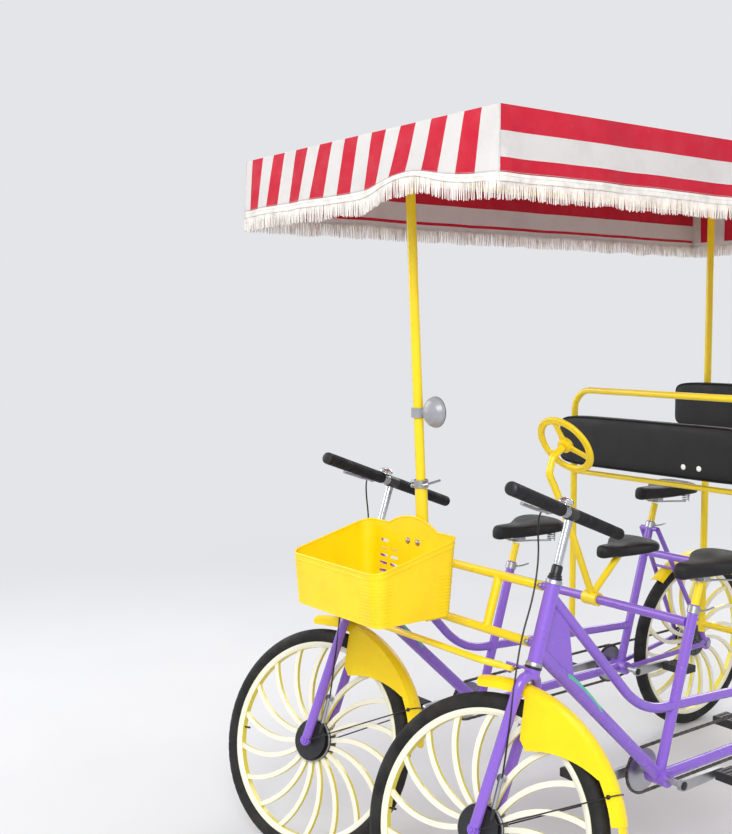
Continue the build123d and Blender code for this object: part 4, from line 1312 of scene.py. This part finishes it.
@dataclass
class Steering:
    """Small parts of one steering assembly. Sizes in millimetres in the head's frame."""

    name: str
    side: int
    fender_radius: float = 372.0
    fender_half: float = 30.0
    spread: float = 52.0
    stay_angle: float = 31.0
    flap_angle: float = 21.0
    bar_end: float = 343.5
    flap_half: float = 25.0
    flap_turn: float = 7.0
    flap_thick: float = 2.2

    def wheel_point(self, radius: float, angle: float, out: float) -> Vector:
        """A point in the front wheel's plane or beside it.

        Args:
            radius: from the axle, in millimetres.
            angle: degrees up from straight back.
            out: millimetres along the axle, to its left.

        Returns:
            The point in the frame.
        """
        a = radians(angle)
        spot = Vector((radius * cos(a), radius * sin(a), out)) * MM
        return LAYOUT.wheel("front", self.side) @ spot

    def piece(self, mesher: Mesher, name: str, finish: Finish) -> None:
        """Let a piece ride on this steering body, named for its side."""
        mesher.piece(f"{name}_{self.name}", finish, f"steering_{self.name}")

    def stays(self) -> None:
        """Thin black wire stays from the fork's tips to the fender, and a band where they meet."""
        mesher = Mesher()
        foot, axle = self.stay_angle, LAYOUT.wheel("front", self.side).col[2].xyz
        for hand in (-1, 1):
            tip = LAYOUT.place(self.side, hand * (self.spread + 6), -LAYOUT.fork_offset + 16,
                               -LAYOUT.axle_to_crown + 6)
            end = self.wheel_point(self.fender_radius - 20, foot, hand * (self.fender_half + 1.6))
            mesher.pipe([tip, tip.lerp(end, 0.5), end], 1.9 * MM, sides=8)
            mesher.hexagon(end, axle * hand, 9, 3.6)
        wide = self.fender_half + 1.4
        band = []
        for step in range(-12, 13):
            a = pi / 2 * step / 12
            band.append(self.wheel_point(self.fender_radius + 1.2 - 14.0 * (1 - cos(a)), foot,
                                         wide * sin(a)))
        ends = [self.wheel_point(self.fender_radius - 30, foot, h * wide) for h in (-1, 1)]
        mesher.pipe([ends[0], *band, ends[1]], 1.7 * MM, sides=8)
        self.piece(mesher, "fender_stays", BLACK)

    def mudflap(self) -> None:
        """A soft flap with a rounded end below the fender's tail."""
        rings = []
        for step in range(15):
            share = step / 14
            angle = self.flap_angle - self.flap_turn * share
            half = self.flap_half * sqrt(max(0.0, 1 - share ** 3)) + 0.6
            line = [(self.fender_radius - 4.0 - 7.0 * across ** 2 + 3 * share, half * across)
                    for across in (-1 + k / 10 for k in range(21))]
            rings.append([self.wheel_point(r, angle, w) for r, w in line]
                         + [self.wheel_point(r - self.flap_thick, angle, w)
                            for r, w in reversed(line)])
        self.piece(Mesher().rings(rings), "mudflap", FENDER)

    def clamps(self) -> None:
        """Headset cups on the fork, stem bolts, the lever's pivot, the bell and the bar's ends."""
        head = LAYOUT.head(self.side)
        left, back, up, _ = (column.xyz for column in head.col)
        stem = LAYOUT.stem_height
        joint = Mesher()
        joint.lathe([(19, 0), (19, 6), (17, 7.5), (17, 13), (14.4, 14)],
                    head @ shift(0, 0, LAYOUT.head_length + 1), 40)
        joint.lathe([(14.2, 0), (14.2, 20), (12.2, 24), (11.1, 25)],
                    head @ shift(0, 0, LAYOUT.head_length + 14), 32)
        joint.lathe([(19.6, -6), (21.5, -5), (21.5, 1), (19.6, 1)], head @ shift(0, 0, -0.4), 40,
                    closed=True)
        self.piece(joint, "headset", BLACK)
        bolts = Mesher()
        for hand in (-1, 1):
            bolts.hexagon(LAYOUT.place(self.side, hand * 15, -15.5, stem), -back, 9, 4.5)
        bolts.hexagon(LAYOUT.place(self.side, 44, -42, stem - 4), up, 9, 4.0)
        self.piece(bolts, "stem_fittings", STEEL)
        bell = Mesher().lathe([(6, 0), (6, 4), (20, 4), (21, 6), (19.5, 12), (14, 17), (6, 19.5),
                               (0.8, 20)], head @ shift(41, 0, stem + 15), 40)
        self.piece(bell, "bell", CHROME)
        ends = Mesher()
        for hand in (-1, 1):
            spot = LAYOUT.place(self.side, hand * self.bar_end, 0, stem)
            ends.lathe([(16.4, 0), (16.8, 3), (15.2, 6), (11, 7.5), (4, 8)],
                       axis_matrix(spot, left * hand), 32)
        self.piece(ends, "bar_ends", BLACK)

    def cable(self) -> None:
        """The brake cable's curve from lever to drum, on the side away from the ladder."""
        middle = [(14, -72, 340), (-4, -58, 270), (10, -40, 170), (36, -34, 60), (62, -12, -40)]
        if self.side < 0:
            middle = [(8, -74, 340), (-20, -60, 270), (-32, -44, 180), (-32, -34, 70),
                      (-18, -40, 30), (14, -43, 10), (48, -32, -18), (62, -10, -70)]
        spots = [(62, -46, 385), (40, -64, 378), *middle, (60, 2, -150), (44, 4, -230),
                 (33, 3, -279)]
        points = [LAYOUT.place(self.side, *spot) for spot in spots]
        data = bpy.data.curves.new(f"brake_cable_{self.name}", "CURVE")
        data.dimensions = "3D"
        spline = data.splines.new("NURBS")
        spline.points.add(len(points) - 1)
        for target, point in zip(spline.points, points):
            target.co = (*point, 1.0)
        spline.order_u = 3
        spline.use_endpoint_u = True
        spline.resolution_u = 8
        data.bevel_depth = 2.4 * MM
        data.bevel_resolution = 3
        data.use_fill_caps = True
        data.materials.append(BLACK.build())
        cable = put(f"brake_cable_{self.name}", data)
        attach(cable, f"steering_{self.name}")
        LOG.info("%s: from lever to drum", cable.name)

    def build(self) -> None:
        """Stays, mudflap, clamps and the cable."""
        self.stays()
        self.mudflap()
        self.clamps()
        self.cable()


@dataclass
class ChainRun:
    """Roller-chain links round one frame's sprockets. Sizes in millimetres."""

    name: str
    side: int
    pitch: float = 12.7
    ring: float = 66.2
    sprocket: float = 38.2
    sync_x: float = -58.5
    drive_x: float = -48.5
    steps: int = 80
    inner_x: float = 2.3
    outer_x: float = 3.1

    def loop(self, first: Triple, second: Triple) -> list[Pair]:
        """The chain's path round two sprockets, front one first.

        Args:
            first: y, z and radius of the front sprocket.
            second: y, z and radius of the rear one.

        Returns:
            Points of the vehicle's y and z, one link apart.
        """
        gap = hypot(second[0] - first[0], second[1] - first[1])
        slope = atan2(second[1] - first[1], second[0] - first[0])
        lean = acos((first[2] - second[2]) / gap)
        dense: list[Pair] = []
        for (y, z, r), start, sweep in ((first, slope + lean, 2 * pi - 2 * lean),
                                        (second, slope - lean, 2 * lean)):
            for k in range(self.steps + 1):
                a = start + sweep * k / self.steps
                dense.append((y + r * cos(a), z + r * sin(a)))
        dense.append(dense[0])
        lengths = [dist(a, b) for a, b in zip(dense, dense[1:])]
        total = sum(lengths)
        count = 2 * round(total / self.pitch / 2)
        spots, covered, k = [], 0.0, 0
        for n in range(count):
            target = total * n / count
            while covered + lengths[k] < target:
                covered += lengths[k]
                k += 1
            t = (target - covered) / lengths[k]
            spots.append(tuple(a + (b - a) * t for a, b in zip(dense[k], dense[k + 1])))
        return spots

    def build(self) -> None:
        """Links and rollers of the sync chain and the drive chain."""
        mesher = Mesher()
        front, rear = ((crank_y, LAYOUT.crank_z, self.ring) for _, crank_y in ROWS)
        hub = (LAYOUT.rear_hub_y, LAYOUT.wheel_radius, self.sprocket)
        for x, first, second in ((self.sync_x, front, rear), (self.drive_x, rear, hub)):
            spots = [LAYOUT.at(self.side * LAYOUT.half_track + x, *spot)
                     for spot in self.loop(first, second)]
            for k, here in enumerate(spots):
                there = spots[(k + 1) % len(spots)]
                run = (there - here).normalized()
                turned = axes(run, ACROSS.cross(run), ACROSS)
                reach = self.inner_x if k % 2 else self.outer_x
                for hand in (-1, 1):
                    middle = here.lerp(there, 0.5) + ACROSS * (hand * reach * MM)
                    mesher.block(Matrix.Translation(middle) @ turned,
                                 (self.pitch + 7.0, 7.2, 0.9), 3.5)
                mesher.lathe([(3.6, -2.0), (3.6, 2.0)], axis_matrix(here, ACROSS), 8)
        mesher.piece(f"chain_links_{self.name}", CHAIN, "frame", ["chains"], sharp=40)


@dataclass
class BasketTrim:
    """Rolled rim, ridge, corner ribs and screws of the moulded basket. Sizes in millimetres."""

    width: float = 404.0
    front_y: float = -178.0
    back_y: float = 108.0
    floor_z: float = 815.0
    front_z: float = 948.0
    back_z: float = 1015.0
    arch: float = 28.0
    taper: float = 20.0
    corner: float = 46.0
    screw_z: float = 977.0
    steps: int = 240
    corners: tuple[float, ...] = (0.177, 0.472, 0.676, 0.972)
    rib_rows: int = 12
    rib_pitch: float = 8.6
    rib_floor: float = 14.0
    rib_span: float = 0.085
    screw_turn: float = 0.3244
    lap: float = 1301.0
    overrun: float = 20.0
    level: float = 14.0

    def rim_height(self, x: float, y: float) -> float:
        """Height of the rim: a slope up to the level strip at the back, with an arch on it.

        Args:
            x: to the basket's left from its middle.
            y: vehicle y.

        Returns:
            The height in millimetres.
        """
        depth = self.back_y - self.front_y
        start = self.front_z - self.overrun * (self.back_z - self.front_z) / depth
        slope = (self.back_z - start) / (depth + self.overrun - self.level)
        if y < self.back_y - self.level:
            return self.back_z + (y - self.back_y + self.level) * slope
        chord = self.width / 4
        if abs(x) >= chord:
            return self.back_z
        radius = (chord ** 2 + self.arch ** 2) / (2 * self.arch)
        return self.back_z + sqrt(radius ** 2 - x ** 2) - (radius - self.arch)

    def wall_point(self, turn: float, drop: float, out: float) -> Vector:
        """A point on the tapered wall, found in four rounds since its height sets its inset.

        Args:
            turn: share of the way round the basket.
            drop: distance below the rim, or the height above the floor if it is negative.
            out: distance out of the wall's outer face.

        Returns:
            The point in the frame.
        """
        peak = self.back_z + self.arch + 30
        middle = (self.front_y + self.back_y) / 2
        x, y, z = 0.0, 0.0, self.back_z
        for _ in range(4):
            inset = self.taper * (peak - z) / (peak - self.floor_z) - out
            half_x, half_y = self.width / 2 - inset, (self.back_y - self.front_y) / 2 - inset
            radius = max(4.0, self.corner - inset)
            flat_x, flat_y = half_x - radius, half_y - radius
            bend = pi / 2 * radius
            lengths = (2 * flat_y, bend, 2 * flat_x, bend) * 2
            s, k = (turn % 1.0) * sum(lengths), 0
            while s > lengths[k]:
                s -= lengths[k]
                k += 1
            if k % 2:
                sign_x, sign_y = ((1, 1), (-1, 1), (-1, -1), (1, -1))[k // 2]
                a = pi / 2 * (k // 2) + s / radius
                x, y = sign_x * flat_x + radius * cos(a), sign_y * flat_y + radius * sin(a)
            else:
                x, y = ((half_x, s - flat_y), (flat_x - s, half_y), (-half_x, flat_y - s),
                        (s - flat_x, -half_y))[k // 2]
            z = self.rim_height(x, middle + y) - drop if drop >= 0 else self.floor_z - drop
        return LAYOUT.at(x, middle + y, z)

    def build(self) -> None:
        """Rim, ridge and ribs, and the two screws of its bracket."""
        mesher, screws = Mesher(), Mesher()
        for drop, out, radius, sides in ((0.5, -1.5, 3.1, 10), (14.0, 0.2, 1.5, 8)):
            path = [self.wall_point(k / self.steps, drop, out) for k in range(self.steps)]
            mesher.pipe(path, radius * MM, sides, closed=True)
        for corner in self.corners:
            for row in range(self.rib_rows):
                rise = -(self.rib_floor + self.rib_pitch * row)
                path = [self.wall_point(corner + self.rib_span * (k / 16 - 0.5), rise, 0.2)
                        for k in range(17)]
                mesher.pipe(path, lambda share: 1.3 * MM * (0.3 + 0.7 * sin(pi * share) ** 0.5), 6)
        mesher.piece("basket_rim", BASKET, sharp=60)
        for x in (-22.0, 22.0):
            spot = self.wall_point(self.screw_turn - x / self.lap, self.floor_z - self.screw_z,
                                   -3.0)
            screws.lathe([(9.5, -0.4), (9.5, 0.8), (6.0, 1.0), (6.0, 2.4), (4.6, 3.8), (1.6, 4.4)],
                         axis_matrix(spot, -BACK), 24)
        screws.piece("basket_screws", STEEL)


@dataclass
class Fittings:
    """Clamps, bolts, trim and glass on the fixed frame. Sizes in millimetres."""

    socket_top: float = 1137.0
    pole_foot_y: float = 147.0
    pole_foot_z: float = 790.0
    pole_lean: float = radians(2.84)
    mirror_z: float = 1325.0
    seat_tops: Pair = (765.0, 825.0)
    stripe_ends: tuple[Pair, ...] = ((297.0, 671.5), (431.0, 544.0))
    stripe_steps: int = 24
    stripe_radius: float = 18.25
    clamp_height: float = 24.0
    crank_length: float = 165.0
    pedal_x: float = 139.5
    cap_x: float = 86.0

    def pole(self, z: float) -> Vector:
        """A point of the front pole's axis at a height."""
        return LAYOUT.at(0, self.pole_foot_y - (z - self.pole_foot_z) * tan(self.pole_lean), z)

    def head_cups(self) -> None:
        """Bearing cups at both ends of the head tubes and the bolts of the ladder."""
        cups, bolts = Mesher(), Mesher()
        for _, side in SIDES:
            head = LAYOUT.head(side, 0.0)
            for s in (1.0, LAYOUT.head_length - 11.0):
                cups.lathe([(19.05, 0), (21.5, 0), (21.5, 8), (20.4, 10), (19.05, 10)],
                           head @ shift(0, 0, s), 44, closed=True)
            for s in (200.0, 55.0):
                bolts.hexagon(head @ (Vector((-side * 33.5, -12, s)) * MM), -BACK, 11, 5)
        cups.piece("head_cups", STEEL)
        bolts.piece("ladder_bolts", STEEL)

    def pole_clamp(self) -> None:
        """The quick-release clamp on top of the pole's socket."""
        mesher = Mesher()
        up = (self.pole(1200) - self.pole(1100)).normalized()
        base = axis_matrix(self.pole(self.socket_top - 16), up)
        mesher.lathe([(17.1, 0), (20.5, 0.6), (20.5, 21.4), (17.1, 22)], base, closed=True)
        for s in (6.0, 17.0):
            mesher.hexagon(base @ (Vector((-13, -18.5, s)) * MM), -BACK, 9, 5)
        mesher.pipe([base @ (Vector(v) * MM) for v in (
            (20, -12, 11), (32, -15, 11), (36, -8, 14), (34, 22, 16), (30, 42, 17))], 3.4 * MM)
        mesher.piece("pole_clamp", STEEL)

    def seat_clamps(self) -> None:
        """A collar with its lever at the top of each seat tube."""
        mesher = Mesher()
        for (_, crank_y), top in zip(ROWS, self.seat_tops):
            for _, side in SIDES:
                low, high = (LAYOUT.at(side * LAYOUT.half_track, LAYOUT.seat_y(crank_y, z), z)
                             for z in (top - self.clamp_height, top))
                mesher.lathe([(15.1, 0), (18.5, 0.8), (18.5, 21), (15.1, 22)],
                             axis_matrix(low, high - low), 36, closed=True)
                spot = low.lerp(high, 0.45)
                mesher.pipe([spot + Vector(v) * MM for v in (
                    (17, 6, 0), (27, 8, 1), (30, 22, 2), (26, 55, 4))], 2.8 * MM, sides=8)
        mesher.piece("seat_clamps", STEEL)

    def mirror_glass(self) -> None:
        """The mirror's bright glass and rim, facing the riders."""
        matrix = axis_matrix(self.pole(self.mirror_z) + Vector((58, 6 + 4.6, 4)) * MM, BACK)
        glass = Mesher().lathe([(38.5, 0), (38.0, 0.8), (30, 1.3), (12, 1.6), (1, 1.7)],
                               matrix, 56)
        glass.piece("mirror_glass", CHROME)
        rim = Mesher().lathe([(38.4, -1), (41.8, -1), (41.8, 2), (38.4, 2.2)], matrix, 56,
                             closed=True)
        rim.piece("mirror_rim", BLACK)

    def stripes(self) -> None:
        """A printed green band along each down tube, on both its flanks."""
        mesher = Mesher()
        count = self.stripe_steps
        for _, side in SIDES:
            start, end = (LAYOUT.at(side * LAYOUT.half_track, *spot) for spot in self.stripe_ends)
            run = (end - start).normalized()
            up = ACROSS.cross(run).normalized()
            for hand in (-1, 1):
                base = len(mesher.points)
                for sign in (-1, 1):
                    for k in range(count + 1):
                        a = sign * (0.62 * sin(pi * k / count) ** 0.6 + 0.03)
                        way = ACROSS * hand * cos(a) + up * sin(a)
                        mesher.points.append(start.lerp(end, k / count)
                                             + way * self.stripe_radius * MM)
                for k in range(base, base + count):
                    mesher.faces.append((k, k + 1, k + count + 2, k + count + 1))
        mesher.piece("printed_stripes", GREEN, sharp=80)

    def pedals(self) -> None:
        """Treads and reflector bars on the pedals, and caps on the crank axles."""
        for row, crank_y in ROWS:
            for name, side in SIDES:
                mesher, caps = Mesher(), Mesher()
                for hand in (-1, 1):
                    hub = LAYOUT.at(side * LAYOUT.half_track, crank_y, LAYOUT.crank_z)
                    pedal = Matrix.Translation(hub) @ shift(
                        hand * self.pedal_x, hand * self.crank_length, 0)
                    for level in (-12.4, 12.4):
                        for k in range(6):
                            mesher.block(pedal @ shift(-38 + 15.2 * k, 0, level),
                                         (5, 62, 2.6), 1.5)
                        for across in (-30, 30):
                            mesher.block(pedal @ shift(0, across, level), (90, 5, 2.2), 1.5)
                    out = ACROSS * hand
                    caps.lathe([(12, 0), (12, 2), (9, 3.2), (2, 3.6)],
                               axis_matrix(hub + out * self.cap_x * MM, out), 28)
                body = f"{row}_crank_{name}"
                mesher.piece(f"pedal_treads_{row}_{name}", BLACK, body)
                caps.piece(f"crank_caps_{row}_{name}", BLACK, body)

    def build(self) -> None:
        """All fixed fittings."""
        self.head_cups()
        self.pole_clamp()
        self.seat_clamps()
        self.mirror_glass()
        self.stripes()
        self.pedals()


def main() -> None:
    """Build the classes in order."""
    logging.basicConfig(level=logging.INFO, format="%(name)s %(message)s")
    Studio().build()
    Dressing().build()
    Canopy().build()
    for end in ("front", "rear"):
        for name, side in SIDES:
            Wheel(end, name, side).build()
    for (label, crank_y), top in zip(ROWS, (905.0, 970.0)):
        y = LAYOUT.seat_y(crank_y, top - Saddle.height) + Saddle.setback
        for name, side in SIDES:
            Saddle(f"{label}_{name}", side * LAYOUT.half_track, y, top).build()
    Saddle("child", 0.0, 948.0, 885.0, length=200.0, width=190.0, height=55.0, pad=40.0,
           sprung=False).build()
    Backrest("backrest_front", 1118.7, 1165.0, (136.0, 194.0)).build()
    Backrest("backrest_rear", 1745.9, 1260.0).build()
    for name, side in SIDES:
        Steering(name, side).build()
        ChainRun(name, side).build()
    BasketTrim().build()
    ToyWheel().build()
    Fittings().build()


if __name__ == "__main__":
    main()
